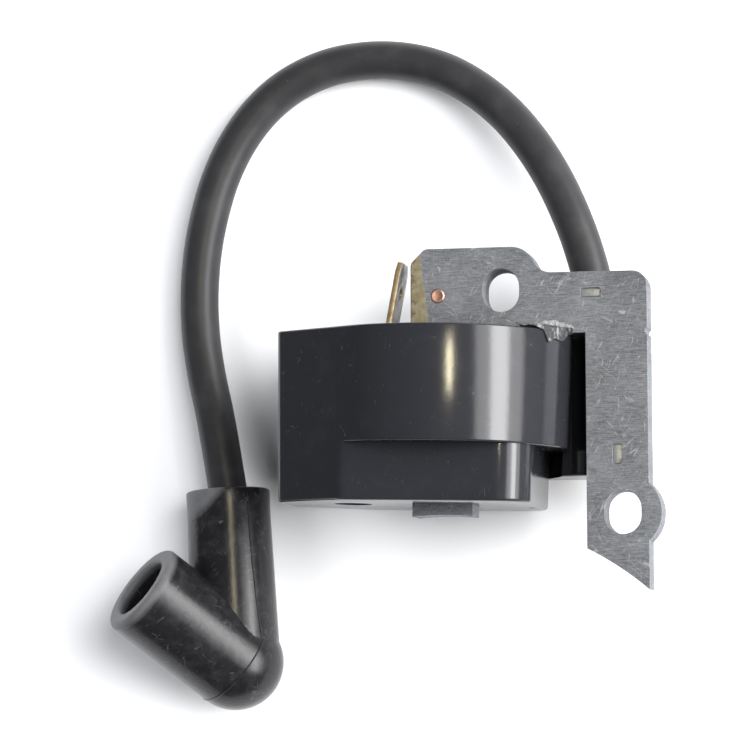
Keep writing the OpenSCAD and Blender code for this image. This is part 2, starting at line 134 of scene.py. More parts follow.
def slot_outline(centre: Point2, width: float, length: float, steps: int = 24) -> list[Point2]:
    """A slot with round ends that runs along the second axis.

    Args:
        centre: Its middle.
        width: Its width.
        length: Its whole length.
        steps: Steps round each end.

    Returns:
        The outline.
    """
    rise = (length - width) / 2
    x, y = centre
    top = arc((x, y + rise), width / 2, 0, 180, steps)
    return top + arc((x, y - rise), width / 2, 180, 360, steps)


def soft_box(centre: Point2, width: float, height: float, corner: float) -> list[Point2]:
    """A rectangle with rounded corners.

    Args:
        centre: Its middle.
        width: Its width.
        height: Its height.
        corner: Radius of its corners.

    Returns:
        The outline.
    """
    x, y = centre
    dx, dy = width / 2 - corner, height / 2 - corner
    corners = ((x + dx, y + dy, 0), (x - dx, y + dy, 90), (x - dx, y - dy, 180), (x + dx, y - dy, 270))
    return [p for cx, cy, a in corners for p in arc((cx, cy), corner, a, a + 90, 5)]


def distance_out(outline: Sequence[Point2], angle: float) -> float:
    """Distance from the origin to a convex outline around it.

    Args:
        outline: The outline's corners in order.
        angle: Direction in radians.

    Returns:
        How far the outline is in that direction.
    """
    cx, cy = math.cos(angle), math.sin(angle)
    best = 0.0
    for (ax, ay), (bx, by) in zip(outline, list(outline[1:]) + [outline[0]]):
        ex, ey = bx - ax, by - ay
        across = cx * ey - cy * ex
        if abs(across) < 1e-12:
            continue
        far = (ax * ey - ay * ex) / across
        share = (ax * cy - ay * cx) / across
        if far > 0 and -1e-9 <= share <= 1 + 1e-9:
            best = max(best, far)
    return best


# ---------------------------------------------------------------------------
# Meshes
# ---------------------------------------------------------------------------


def finish_mesh(mesh: bpy.types.Mesh, place: Matrix, sharp: float = 35.0) -> None:
    """Moves a mesh to its place and shades it smooth but for its sharp edges.

    Args:
        mesh: The mesh as drawn.
        place: Takes it to the part's frame.
        sharp: Angle in degrees from which an edge stays sharp.
    """
    mesh.transform(place)
    mesh.shade_smooth()
    mesh.set_sharp_from_angle(angle=math.radians(sharp))


def new_piece(name: str, mesh: bpy.types.Mesh) -> bpy.types.Object:
    """Links a mesh to the scene as a piece.

    Args:
        name: The piece's name.
        mesh: Its mesh, or its curve.

    Returns:
        The piece.
    """
    piece = bpy.data.objects.new(name, mesh)
    bpy.context.scene.collection.objects.link(piece)
    return piece


def mesh_from(bm: bmesh.types.BMesh, name: str) -> bpy.types.Mesh:
    """Turns a bmesh into a mesh with merged points and outward faces.

    Args:
        bm: The bmesh; it is freed.
        name: Name for the mesh.

    Returns:
        The mesh.
    """
    bmesh.ops.remove_doubles(bm, verts=bm.verts, dist=1e-4)
    bmesh.ops.dissolve_degenerate(bm, edges=bm.edges, dist=1e-4)
    bmesh.ops.recalc_face_normals(bm, faces=bm.faces)
    mesh = bpy.data.meshes.new(name)
    bm.to_mesh(mesh)
    bm.free()
    return mesh


def baked(piece: bpy.types.Object) -> bpy.types.Mesh:
    """The piece's mesh with its modifiers applied.

    Args:
        piece: The piece, which stays as it is.

    Returns:
        The new mesh.
    """
    graph = bpy.context.evaluated_depsgraph_get()
    graph.update()
    return bpy.data.meshes.new_from_object(piece.evaluated_get(graph))


def sheet_metal(
    name: str, outlines: Sequence[Sequence[Point2]], thick: float, edge: float
) -> bpy.types.Mesh:
    """A flat plate with holes and softened edges, around Z = 0.

    Args:
        name: Name for the mesh.
        outlines: The outer outline, then each hole.
        thick: Whole thickness.
        edge: Size of the softened edge.

    Returns:
        The plate's mesh, in millimetres.
    """
    curve = bpy.data.curves.new(name, "CURVE")
    curve.dimensions = "2D"
    curve.fill_mode = "BOTH"
    curve.extrude = thick / 2 - edge
    curve.bevel_depth = edge
    curve.bevel_resolution = 1
    curve.offset = -edge
    for outline in outlines:
        spline = curve.splines.new("POLY")
        spline.points.add(len(outline) - 1)
        for point, (x, y) in zip(spline.points, outline):
            point.co = (x, y, 0, 1)
        spline.use_cyclic_u = True
    drawing = new_piece(name, curve)
    mesh = baked(drawing)
    bpy.data.objects.remove(drawing)
    bpy.data.curves.remove(curve)
    bm = bmesh.new()
    bm.from_mesh(mesh)
    bpy.data.meshes.remove(mesh)
    return mesh_from(bm, name)


def skin(bm: bmesh.types.BMesh, rings: Sequence[Sequence[Vector]], closed: bool = True) -> None:
    """Joins rings of equal size into a skin and closes its two ends.

    Args:
        bm: The mesh that takes the skin.
        rings: The rings in order.
        closed: Whether the ends get a cap.
    """
    rows = [[bm.verts.new(p) for p in ring] for ring in rings]
    for low, high in zip(rows, rows[1:]):
        for i in range(len(low)):
            j = (i + 1) % len(low)
            bm.faces.new((low[i], low[j], high[j], high[i]))
    if closed:
        bm.faces.new(list(reversed(rows[0])))
        bm.faces.new(rows[-1])


def turned(name: str, profile: Sequence[Point2], sides: int = 96) -> bpy.types.Mesh:
    """A closed turned shape about +Z.

    Args:
        name: Name for the mesh.
        profile: Radius and height of each point, from the axis round to the axis, or a closed loop.
        sides: Number of sides.

    Returns:
        The mesh, in millimetres.
    """
    bm = bmesh.new()
    loop = profile[0][0] > 0 and profile[-1][0] > 0
    line = list(profile) + ([profile[0]] if loop else [])
    steps = [(math.cos(a), math.sin(a)) for a in (2 * math.pi * k / sides for k in range(sides))]
    rings = [[Vector((max(r, 1e-3) * c, max(r, 1e-3) * s, h)) for c, s in steps] for r, h in line]
    skin(bm, rings, closed=not loop)
    return mesh_from(bm, name)


def rod(radius: float, low: float, high: float) -> list[Point2]:
    """The profile of a plain rod, for turning."""
    return [(0, low), (radius, low), (radius, high), (0, high)]


def join_meshes(name: str, meshes: Sequence[bpy.types.Mesh]) -> bpy.types.Mesh:
    """Puts several meshes into one and removes the originals.

    Args:
        name: Name for the new mesh.
        meshes: The meshes that go into it.

    Returns:
        The joined mesh.
    """
    bm = bmesh.new()
    for mesh in meshes:
        bm.from_mesh(mesh)
        bpy.data.meshes.remove(mesh)
    joined = bpy.data.meshes.new(name)
    bm.to_mesh(joined)
    bm.free()
    return joined


class Cut(Enum):
    """What a Boolean does with its tool."""

    ADD = "UNION"
    TAKE = "DIFFERENCE"


def combined(mesh: bpy.types.Mesh, steps: Sequence[tuple[Cut, bpy.types.Mesh]]) -> bpy.types.Mesh:
    """Adds and takes away solids one after the other.

    Args:
        mesh: The solid to start from.
        steps: Each tool with what is done with it.

    Returns:
        The resulting mesh; the ones given are removed.
    """
    base = new_piece(mesh.name + "_work", mesh)
    for cut, tool_mesh in steps:
        tool = new_piece("tool", tool_mesh)
        modifier = base.modifiers.new("cut", "BOOLEAN")
        modifier.operation = cut.value
        modifier.solver = "EXACT"
        modifier.object = tool
        result = baked(base)
        base.modifiers.clear()
        old = base.data
        base.data = result
        bpy.data.meshes.remove(old)
        bpy.data.objects.remove(tool)
        bpy.data.meshes.remove(tool_mesh)
    result = base.data
    bpy.data.objects.remove(base)
    return result


def carried_rings(line: Sequence[Vector], radius: Callable[[int], float], sides: int) -> list[list[Vector]]:
    """Rings square to a line, carried along it without twist.

    Args:
        line: Points of the centre line.
        radius: Radius at each point's index.
        sides: Points in each ring.

    Returns:
        One ring for each point.
    """
    rings = []
    last = len(line) - 1
    side = Vector((0, 0, 1))
    for i, at in enumerate(line):
        way = (line[min(i + 1, last)] - line[max(i - 1, 0)]).normalized()
        side = (side - side.dot(way) * way).normalized()
        across = way.cross(side)
        turns = [2 * math.pi * k / sides for k in range(sides)]
        rings.append([at + radius(i) * (math.cos(a) * side + math.sin(a) * across) for a in turns])
    return rings


def smooth_line(points: Sequence[Vector], spacing: float) -> list[Vector]:
    """A Catmull-Rom curve through points.

    Args:
        points: The points it passes.
        spacing: Wanted distance between the points it returns.

    Returns:
        Points along the curve, ends included.
    """
    line = [2 * points[0] - points[1], *points, 2 * points[-1] - points[-2]]
    result = []
    for a, b, c, d in zip(line, line[1:], line[2:], line[3:]):
        steps = max(2, round((c - b).length / spacing))
        for i in range(steps):
            t = i / steps
            bend = 2 * a - 5 * b + 4 * c - d
            twist = 3 * b - 3 * c + d - a
            result.append(b + 0.5 * (t * (c - a) + t * t * bend + t * t * t * twist))
    return result + [points[-1]]


def tube(name: str, line: Sequence[Vector], radius: Callable[[int], float], sides: int) -> bpy.types.Mesh:
    """A closed tube along a line, with a UV map: U around it, V along it in millimetres.

    Args:
        name: Name for the mesh.
        line: Points of the centre line.
        radius: Radius at each point's index.
        sides: Number of sides.

    Returns:
        The mesh, in millimetres.
    """
    bm = bmesh.new()
    skin(bm, carried_rings(line, radius, sides))
    bm.normal_update()
    along = [0.0]
    for a, b in zip(line, line[1:]):
        along.append(along[-1] + (b - a).length)
    uv = bm.loops.layers.uv.new("around_and_along")
    bm.verts.index_update()
    for face in bm.faces:
        columns = [loop.vert.index % sides for loop in face.loops]
        wraps = len(face.loops) == 4 and 0 in columns and sides - 1 in columns
        for loop, column in zip(face.loops, columns):
            u = sides if wraps and column == 0 else column
            loop[uv].uv = (u / sides, along[loop.vert.index // sides])
    mesh = bpy.data.meshes.new(name)
    bm.to_mesh(mesh)
    bm.free()
    return mesh


# ---------------------------------------------------------------------------
# Geometry Nodes
# ---------------------------------------------------------------------------


class GeoTree:
    """A Geometry Nodes tree that is built here, run on one mesh and removed again."""

    def __init__(self, name: str) -> None:
        """Starts a tree with one geometry going in and one coming out.

        Args:
            name: The tree's name.
        """
        self.tree = bpy.data.node_groups.new(name, "GeometryNodeTree")
        self.entry = self.tree.nodes.new("NodeGroupInput")
        self.exit = self.tree.nodes.new("NodeGroupOutput")
        for way in ("INPUT", "OUTPUT"):
            self.tree.interface.new_socket("Geometry", in_out=way, socket_type="NodeSocketGeometry")
        self.values: dict[str, Any] = {}

    @property
    def geometry(self) -> bpy.types.NodeSocket:
        """The geometry that comes in."""
        return self.entry.outputs["Geometry"]

    def named(self, name: str, value: Any, kind: str = "NodeSocketFloat") -> bpy.types.NodeSocket:
        """Adds a named input and keeps its value for the run.

        Args:
            name: The input's name.
            value: What it is set to.
            kind: The socket's type.

        Returns:
            The socket to link from.
        """
        item = self.tree.interface.new_socket(name, in_out="INPUT", socket_type=kind)
        self.values[item.identifier] = value
        return self.entry.outputs[name]

    def add(self, kind: str, settings: dict[str, Any] | None = None, **inputs: Any) -> bpy.types.Node:
        """Adds a node.

        Args:
            kind: The node's type.
            settings: Properties set before its sockets.
            **inputs: A value or a socket for each input, with underscores for spaces.

        Returns:
            The node.
        """
        node = self.tree.nodes.new(kind)
        for key, value in (settings or {}).items():
            setattr(node, key, value)
        for key, value in inputs.items():
            socket = next(s for s in node.inputs if s.name == key.replace("_", " ") and s.enabled)
            if isinstance(value, bpy.types.NodeSocket):
                self.tree.links.new(value, socket)
            else:
                socket.default_value = value
        return node

    def run(
        self, mesh: bpy.types.Mesh, result: bpy.types.NodeSocket, material: bpy.types.Material
    ) -> bpy.types.Mesh:
        """Realizes the result on a mesh and gives it a material.

        Args:
            mesh: The geometry that goes in; it is removed.
            result: The socket that holds the finished geometry.
            material: What it is made of.

        Returns:
            A plain mesh.
        """
        real = self.add("GeometryNodeRealizeInstances", Geometry=result)
        slot = self.named("Material", material, "NodeSocketMaterial")
        dressed = self.add("GeometryNodeSetMaterial", Geometry=real.outputs["Geometry"], Material=slot)
        self.tree.links.new(dressed.outputs["Geometry"], self.exit.inputs["Geometry"])
        carrier = new_piece(self.tree.name, mesh)
        modifier = carrier.modifiers.new(self.tree.name, "NODES")
        modifier.node_group = self.tree
        for identifier, value in self.values.items():
            modifier[identifier] = value
        made = baked(carrier)
        bpy.data.objects.remove(carrier)
        bpy.data.meshes.remove(mesh)
        bpy.data.node_groups.remove(self.tree)
        return made


# ---------------------------------------------------------------------------
# Shader maths
# ---------------------------------------------------------------------------


class Value:
    """A number that varies over a surface; its operators add Math nodes."""

    def __init__(self, tree: bpy.types.NodeTree, socket: bpy.types.NodeSocket) -> None:
        """Wraps a socket of a tree."""
        self.tree = tree
        self.socket = socket

    def maths(self, operation: str, *terms: "Value | float", clamp: bool = False) -> "Value":
        """Adds one Math node.

        Args:
            operation: The node's operation.
            *terms: Its inputs in order.
            clamp: Whether the result is kept from 0 to 1.

        Returns:
            The node's result.
        """
        node = self.tree.nodes.new("ShaderNodeMath")
        node.operation = operation
        node.use_clamp = clamp
        for socket, term in zip(node.inputs, terms):
            if isinstance(term, Value):
                self.tree.links.new(term.socket, socket)
            else:
                socket.default_value = term
        return Value(self.tree, node.outputs[0])

    def __add__(self, other: "Value | float") -> "Value":
        """Self + other."""
        return self.maths("ADD", self, other)

    __radd__ = __add__

    def __sub__(self, other: "Value | float") -> "Value":
        """Self - other."""
        return self.maths("SUBTRACT", self, other)

    def __rsub__(self, other: float) -> "Value":
        """Other - self."""
        return self.maths("SUBTRACT", other, self)

    def __mul__(self, other: "Value | float") -> "Value":
        """Self * other."""
        return self.maths("MULTIPLY", self, other)

    __rmul__ = __mul__

    def __truediv__(self, other: "Value | float") -> "Value":
        """Self / other."""
        return self.maths("DIVIDE", self, other)

    def __pow__(self, other: float) -> "Value":
        """Self to a power."""
        return self.maths("POWER", self, other)

    def __abs__(self) -> "Value":
        """The size of self."""
        return self.maths("ABSOLUTE", self)

    def most(self, other: "Value | float") -> "Value":
        """The greater of two values."""
        return self.maths("MAXIMUM", self, other)

    def sine(self) -> "Value":
        """The sine of self."""
        return self.maths("SINE", self)

    def fraction(self) -> "Value":
        """The part of self after the decimal point."""
        return self.maths("FRACT", self)

    def clamped(self) -> "Value":
        """Self, kept from 0 to 1."""
        return self.maths("ADD", self, 0.0, clamp=True)

    def rise(self, low: float, high: float) -> "Value":
        """Goes from 0 at low to 1 at high, smoothly; high may be the lesser.

        Args:
            low: Where it is 0.
            high: Where it is 1.

        Returns:
            The smooth step.
        """
        node = self.tree.nodes.new("ShaderNodeMapRange")
        node.interpolation_type = "SMOOTHSTEP"
        turned_round = low > high
        ends = (high, low) if turned_round else (low, high)
        self.tree.links.new(self.socket, node.inputs["Value"])
        node.inputs["From Min"].default_value, node.inputs["From Max"].default_value = ends
        made = Value(self.tree, node.outputs["Result"])
        return 1 - made if turned_round else made


class Shader:
    """One material's node tree under construction, read in millimetres about a centre."""

    def __init__(self, name: str, centre: Vector | None = None) -> None:
        """Starts a material.

        Args:
            name: The material's name.
            centre: Where the pattern's origin lies, in metres.
        """
        self.material = bpy.data.materials.new(name)
        self.material.use_nodes = True
        self.tree = self.material.node_tree
        self.tree.nodes.clear()
        self.output = self.tree.nodes.new("ShaderNodeOutputMaterial")
        self.surface = self.tree.nodes.new("ShaderNodeBsdfPrincipled")
        self.tree.links.new(self.surface.outputs[0], self.output.inputs["Surface"])
        place = self.add("ShaderNodeTexCoord").outputs["Object"]
        moved = self.add(
            "ShaderNodeVectorMath", {"operation": "SUBTRACT"}, (place, tuple(centre or (0, 0, 0)))
        )
        scaled = self.add(
            "ShaderNodeVectorMath", {"operation": "MULTIPLY"}, (moved.outputs[0], (1 / MM,) * 3)
        )
        self.place = scaled.outputs[0]

    def add(self, kind: str, settings: dict[str, Any] | None = None, inputs: Any = ()) -> bpy.types.Node:
        """Adds any node.

        Args:
            kind: The node's type.
            settings: Properties set before its sockets; "stops" holds a ramp's stops.
            inputs: Values or sockets, by name or in order.

        Returns:
            The node.
        """
        node = self.tree.nodes.new(kind)
        for key, value in (settings or {}).items():
            if key == "stops":
                self._set_stops(node.color_ramp, value)
            else:
                setattr(node, key, value)
        pairs = inputs.items() if isinstance(inputs, dict) else enumerate(inputs)
        for key, value in pairs:
            if isinstance(key, str):
                socket = next(s for s in node.inputs if s.name == key and s.enabled)
            else:
                socket = [s for s in node.inputs if s.enabled][key]
            self._feed(socket, value)
        return node

    def _feed(self, socket: bpy.types.NodeSocket, value: Any) -> None:
        """Links or sets one input.

        Args:
            socket: The input.
            value: A socket, a value over the surface, a number or a colour.
        """
        if isinstance(value, Value):
            self.tree.links.new(value.socket, socket)
        elif isinstance(value, bpy.types.NodeSocket):
            self.tree.links.new(value, socket)
        elif socket.type == "RGBA" and len(value) == 3:
            socket.default_value = (*value, 1.0)
        else:
            socket.default_value = value

    @staticmethod
    def _set_stops(ramp: bpy.types.ColorRamp, stops: Sequence[tuple[float, Colour]]) -> None:
        """Writes a ramp's stops.

        Args:
            ramp: The ramp's colours.
            stops: Position and colour of each stop.
        """
        while len(ramp.elements) < len(stops):
            ramp.elements.new(1.0)
        for element, (position, colour) in zip(ramp.elements, stops):
            element.position = position
            element.color = (*colour, 1.0)

    def axes(self) -> tuple[Value, Value, Value]:
        """The place's X, Y and Z in millimetres.

        Returns:
            The three values.
        """
        split = self.add("ShaderNodeSeparateXYZ", None, (self.place,))
        x, y, z = (Value(self.tree, s) for s in split.outputs)
        return x, y, z

    def stretched(self, scale: Sequence[float], shift: Sequence[float] = (0, 0, 0)) -> bpy.types.NodeSocket:
        """The place, scaled along each axis and moved."""
        return self.mapped(self.place, Scale=scale, Location=shift)

    def mapped(self, place: bpy.types.NodeSocket, **settings: Any) -> bpy.types.NodeSocket:
        """A place that is turned, scaled or moved by a Mapping node."""
        return self.add("ShaderNodeMapping", None, {"Vector": place, **settings}).outputs[0]

    def noise(self, scale: float, detail: float = 3.0, rough: float = 0.5, bend: float = 0.0,
              place: bpy.types.NodeSocket | None = None) -> Value:
        """Fractal noise.

        Args:
            scale: Features per millimetre.
            detail: How many finer layers it has.
            rough: How strong the finer layers are.
            bend: How much it is distorted.
            place: Where it is read, if not at the material's own place.

        Returns:
            The noise, from 0 to 1.
        """
        inputs = {"Scale": scale, "Detail": detail, "Roughness": rough, "Distortion": bend}
        node = self.add("ShaderNodeTexNoise", None, {"Vector": place or self.place, **inputs})
        return Value(self.tree, node.outputs[0])

    def cells(self, scale: float, place: bpy.types.NodeSocket | None = None, feature: str = "F1") -> Value:
        """Distances in a Voronoi pattern.

        Args:
            scale: Cells per millimetre.
            place: Where it is read, if not at the material's own place.
            feature: Which distance.

        Returns:
            The distance, in cells.
        """
        node = self.add(
            "ShaderNodeTexVoronoi", {"feature": feature}, {"Vector": place or self.place, "Scale": scale}
        )
        return Value(self.tree, node.outputs["Distance"])

    def scratches(self, scale: float, width: float, turn: float, shift: float, keep: float) -> Value:
        """Sparse thin scratches in one rough direction.

        Args:
            scale: Cells per millimetre across the scratches.
            width: Width as a share of a cell.
            turn: Their direction in the XY plane, in radians.
            shift: Moves the pattern, so that layers differ.
            keep: Share of the surface where scratches show.

        Returns:
            1 on a scratch and 0 elsewhere.
        """
        laid = self.mapped(self.place, Rotation=(0, 0, turn), Location=(shift, shift, 0))
        bent = self.noise(0.35, 2.0, place=laid)
        long_way = self.mapped(laid, Scale=(1.0, 0.09, 1.0))
        push = self.add("ShaderNodeCombineXYZ", None, {"X": bent * 1.6}).outputs[0]
        pushed = self.add("ShaderNodeVectorMath", {"operation": "ADD"}, (long_way, push))
        line = self.cells(scale, pushed.outputs[0], "DISTANCE_TO_EDGE").rise(width, 0.0)
        patch = self.noise(0.55, 2.0, place=laid).rise(1 - keep, 1 - keep + 0.12)
        return line * patch

    def mix(self, share: Value | float, first: Any, second: Any) -> bpy.types.NodeSocket:
        """Mixes two colours, from the first at 0 to the second at 1."""
        node = self.add("ShaderNodeMix", {"data_type": "RGBA"}, {"Factor": share, "A": first, "B": second})
        return next(s for s in node.outputs if s.enabled)

    def bump(
        self, height: Value, distance: float, strength: float = 1.0, over: Any = None
    ) -> bpy.types.NodeSocket:
        """A bump from a height, with its distance in millimetres.

        Args:
            height: The height, from 0 to 1.
            distance: How high 1 is.
            strength: Share of the bump that shows.
            over: A normal that it is laid over.

        Returns:
            The normal.
        """
        inputs = {"Height": height, "Distance": distance * MM, "Strength": strength}
        if over is not None:
            inputs["Normal"] = over
        return self.add("ShaderNodeBump", None, inputs).outputs[0]

    def done(self, **sockets: Any) -> bpy.types.Material:
        """Feeds the surface's sockets, with underscores for spaces, and returns the material.

        Args:
            **sockets: A value or a link for each socket.

        Returns:
            The finished material.
        """
        for key, value in sockets.items():
            self._feed(self.surface.inputs[key.replace("_", " ")], value)
        return self.material


# ---------------------------------------------------------------------------
# Finishes
# ---------------------------------------------------------------------------


@dataclass(frozen=True)
class CutSteel:
    """Grey silicon steel with rolling grain, scratches and an amber varnish run on the lobe."""

    name: str = "cut_steel"
    steel: Colour = (0.172, 0.182, 0.202)
    bright: Colour = (0.36, 0.376, 0.41)
    dull: Colour = (0.076, 0.082, 0.094)
    scratch: Colour = (0.66, 0.675, 0.71)
    varnish: Colour = (0.14, 0.112, 0.05)
    varnish_pale: Colour = (0.20, 0.175, 0.10)
    varnish_dark: Colour = (0.06, 0.032, 0.012)
    grime: Colour = (0.09, 0.084, 0.08)
    half_stack: float = 3.0
    run_wide: float = 2.05
    run_lean: float = 0.135

    def material(self) -> bpy.types.Material:
        """Builds the material.

        Returns:
            The finished material.
        """
        s = Shader(self.name, ON_CORE.translation)
        x, y, z = s.axes()
        grain = s.noise(3.6, 5.0, 0.85, place=s.stretched((0.2, 1.9, 1.0)))
        cross_grain = s.noise(6.0, 3.0, 0.6, place=s.stretched((1.6, 0.25, 1.0), (7, 3, 0)))
        cloud = s.noise(0.16, 3.0, 0.55)
        speckle = s.noise(2.6, 3.0, 0.7).rise(0.56, 0.72)
        fine = s.scratches(1.1, 0.035, 0.5, 3.0, 0.47).most(s.scratches(0.9, 0.03, -0.9, 11.0, 0.45))
        deep = s.scratches(0.5, 0.02, 0.12, 23.0, 0.42).most(s.scratches(0.62, 0.018, 1.45, 31.0, 0.4))
        marks = (fine * 0.65).most(deep)
        tone = ((grain - 0.5) * 3.2 + (cross_grain - 0.5) * 0.9 + (cloud - 0.5) * 1.0 + 0.5).clamped()
        plain = s.mix(tone, self.dull, self.bright)
        soft = s.mix(0.3, plain, self.steel)
        specked = s.mix(speckle * 0.4, soft, self.bright)
        marked = s.mix(marks * 0.6, specked, self.scratch)
        wobble = s.noise(0.9, 3.0, 0.6)
        boundary = x + LOBE_LEFT - self.run_wide + (y - 6.0) * self.run_lean + (wobble - 0.5) * 0.9
        on_top = z.rise(self.half_stack - 0.35, self.half_stack - 0.1)
        run = boundary.rise(0.16, -0.16) * on_top * y.rise(-0.4, 0.2)
        thick = s.noise(0.8, 4.0, 0.65).rise(0.42, 0.66)
        stain = s.mix(thick, self.varnish, self.varnish_pale)
        specks = s.noise(1.5, 3.0, 0.7).rise(0.5, 0.6) * x.rise(-3.1, -4.1)
        edge_stain = s.mix((specks + x.rise(-4.15, -4.4) * 0.6).clamped() * 0.9, stain, self.varnish_dark)
        sides = 1 - on_top
        edge_dirt = (sides * s.noise(1.2, 3.0, 0.6).rise(0.45, 0.7) * 0.55).clamped()
        varnished = s.mix(run * 0.9, marked, edge_stain)
        colour = s.mix(edge_dirt, varnished, self.grime)
        bare = 1 - run
        rough = (0.47 + grain * 0.16 - marks * 0.12) * bare + run * 0.34
        height = grain * 0.9 + cross_grain * 0.3 - marks * 0.8 + run * 0.5
        return s.done(
            Base_Color=colour,
            Metallic=(bare * 0.72).clamped(),
            Roughness=rough,
            Normal=s.bump(height, 0.012, 0.8),
        )


@dataclass(frozen=True)
class BareMetal:
    """Turned, drawn or plated metal with fine lines, tarnish and nicks."""

    name: str
    bright: Colour
    tarnish: Colour
    rough: float = 0.32
    stretch: tuple[float, float, float] = (1.0, 0.2, 1.0)
    scale: float = 4.0

    def material(self) -> bpy.types.Material:
        """Builds the material.

        Returns:
            The finished material.
        """
        s = Shader(self.name)
        lines = s.noise(self.scale, 4.0, 0.6, place=s.stretched(self.stretch))
        patches = s.noise(self.scale * 0.22, 3.0, 0.6).rise(0.4, 0.68)
        nicks = s.scratches(self.scale * 0.3, 0.03, 0.7, 5.0, 0.5)
        colour = s.mix(patches * 0.7, self.bright, self.tarnish)
        scratched = s.mix(nicks * 0.6, colour, tuple(min(1.0, c * 1.4) for c in self.bright))
        return s.done(
            Base_Color=scratched,
            Metallic=1.0,
            Roughness=self.rough + patches * 0.2 + lines * 0.12,
            Normal=s.bump(lines - nicks, 0.008, 0.6),
        )


@dataclass(frozen=True)
class MouldedBlack:
    """Glossy black thermoplastic with a faint moulding texture, rub marks and dust."""

    name: str = "moulded_black"
    body: Colour = (0.0205, 0.0210, 0.0245)
    rubbed: Colour = (0.05, 0.05, 0.053)
    dust: Colour = (0.30, 0.29, 0.28)

    def material(self) -> bpy.types.Material:
        """Builds the material.

        Returns:
            The finished material.
        """
        s = Shader(self.name, ON_CORE.translation)
        _, y, _ = s.axes()
        draw = s.noise(2.2, 4.0, 0.6, place=s.stretched((0.5, 2.4, 0.5)))
        fine = s.noise(2.6, 3.0, 0.65)
        swirl = s.noise(0.28, 3.0, 0.6, 0.6)
        rubs = s.scratches(0.7, 0.016, 0.35, 2.0, 0.42).most(s.scratches(0.8, 0.014, -1.1, 17.0, 0.4))
        motes = s.cells(1.3).rise(0.055, 0.03) * s.noise(0.5, 2.0).rise(0.5, 0.62)
        scuffed = s.mix((rubs * 0.35 + swirl.rise(0.5, 0.8) * 0.12).clamped(), self.body, self.rubbed)
        colour = s.mix(motes * 0.5, scuffed, self.dust)
        low_edge = y.rise(-23.9, -24.6)
        rough = 0.09 + swirl * 0.07 + fine * 0.05 + rubs * 0.2 + motes * 0.3 + low_edge * 0.08
        normal = s.bump(fine, 0.008, 0.8, s.bump(draw, 0.006, 0.5))
        return s.done(Base_Color=colour, Roughness=rough, Specular_IOR_Level=0.5, Normal=normal)


@dataclass(frozen=True)
class CastResin:
    """Poured dark resin with small bubbles and a soft gloss."""

    name: str
    body: Colour = (0.018, 0.016, 0.014)
    pale: Colour = (0.07, 0.065, 0.055)
    rough: float = 0.24

    def material(self) -> bpy.types.Material:
        """Builds the material.

        Returns:
            The finished material.
        """
        s = Shader(self.name, ON_CORE.translation)
        flow = s.noise(0.35, 3.0, 0.6, 0.8)
        bubbles = s.cells(0.9).rise(0.2, 0.12) * s.noise(0.6, 2.0).rise(0.52, 0.6)
        grit = s.noise(5.0, 3.0, 0.7)
        colour = s.mix((flow.rise(0.4, 0.75) * 0.6 + grit * 0.15).clamped(), self.body, self.pale)
        return s.done(
            Base_Color=colour,
            Roughness=self.rough + flow * 0.15 + grit * 0.1,
            Normal=s.bump(flow - bubbles + grit * 0.2, 0.06, 0.7),
        )


@dataclass(frozen=True)
class TornFlash:
    """Grey torn film of resin, paler on the crests of its folds: partly scuffing, partly painted highlight.
    """

    name: str = "torn_flash"
    grey: Colour = (0.03, 0.03, 0.032)
    pale: Colour = (0.30, 0.30, 0.305)

    def material(self) -> bpy.types.Material:
        """Builds the material.

        Returns:
            The finished material.
        """
        s = Shader(self.name, ON_CORE.translation)
        folds = s.noise(1.4, 4.0, 0.65, 0.7, s.stretched((1.0, 0.6, 1.0)))
        grit = s.noise(6.0, 3.0, 0.7)
        _, y, z = s.axes()
        on_bar = y.rise(0.3, 0.7) * z.rise(4.2, 3.4)
        # partly painted highlight: the fold crests are painted pale as well as scuffed, with pale grit specks
        # added
        fold_scuffs_and_highlight = folds.rise(0.5, 0.66) * 0.75 + grit.rise(0.5, 0.7) * 0.2
        colour = s.mix((fold_scuffs_and_highlight + on_bar * 0.75).clamped(), self.grey, self.pale)
        return s.done(
            Base_Color=colour, Roughness=0.3 + grit * 0.25, Normal=s.bump(folds + grit * 0.4, 0.07, 0.8)
        )


@dataclass(frozen=True)
class TinnedBrass:
    """Brass strip with a tinned face and bare brass at its cut edges."""

    name: str = "tinned_brass"
    tin: Colour = (0.60, 0.585, 0.57)
    tin_dark: Colour = (0.26, 0.24, 0.225)
    brass: Colour = (0.60, 0.46, 0.26)
    brass_dark: Colour = (0.34, 0.23, 0.12)
    residue: Colour = (0.62, 0.60, 0.52)
    lean: float = math.radians(10.5)
    foot: tuple[float, float] = (-8.45, -2.4)
    half_thick: float = 0.4

    def material(self) -> bpy.types.Material:
        """Builds the material.

        Returns:
            The finished material.
        """
        s = Shader(self.name, ON_CORE.translation)
        x, y, _ = s.axes()
        across = abs((x - self.foot[0]) * math.cos(self.lean) - (y - self.foot[1]) * math.sin(self.lean))
        cut = across.rise(self.half_thick - 0.02, self.half_thick - 0.09)
        patches = s.noise(0.7, 4.0, 0.65)
        grain = s.noise(3.5, 4.0, 0.6, place=s.stretched((1.0, 0.25, 1.0)))
        residue = y.rise(2.6, 0.4) * s.noise(1.6, 4.0, 0.7).rise(0.46, 0.62)
        face = s.mix((patches.rise(0.35, 0.7) * 0.8 + grain * 0.2).clamped(), self.tin, self.tin_dark)
        edge = s.mix(patches.rise(0.4, 0.75), self.brass, self.brass_dark)
        metal = s.mix(cut, face, edge)
        colour = s.mix(residue * 0.75, metal, self.residue)
        return s.done(
            Base_Color=colour,
            Metallic=(0.9 - residue * 0.8).clamped(),
            Roughness=0.34 + patches * 0.18 + residue * 0.3,
            Normal=s.bump(grain + residue, 0.02, 0.7),
        )


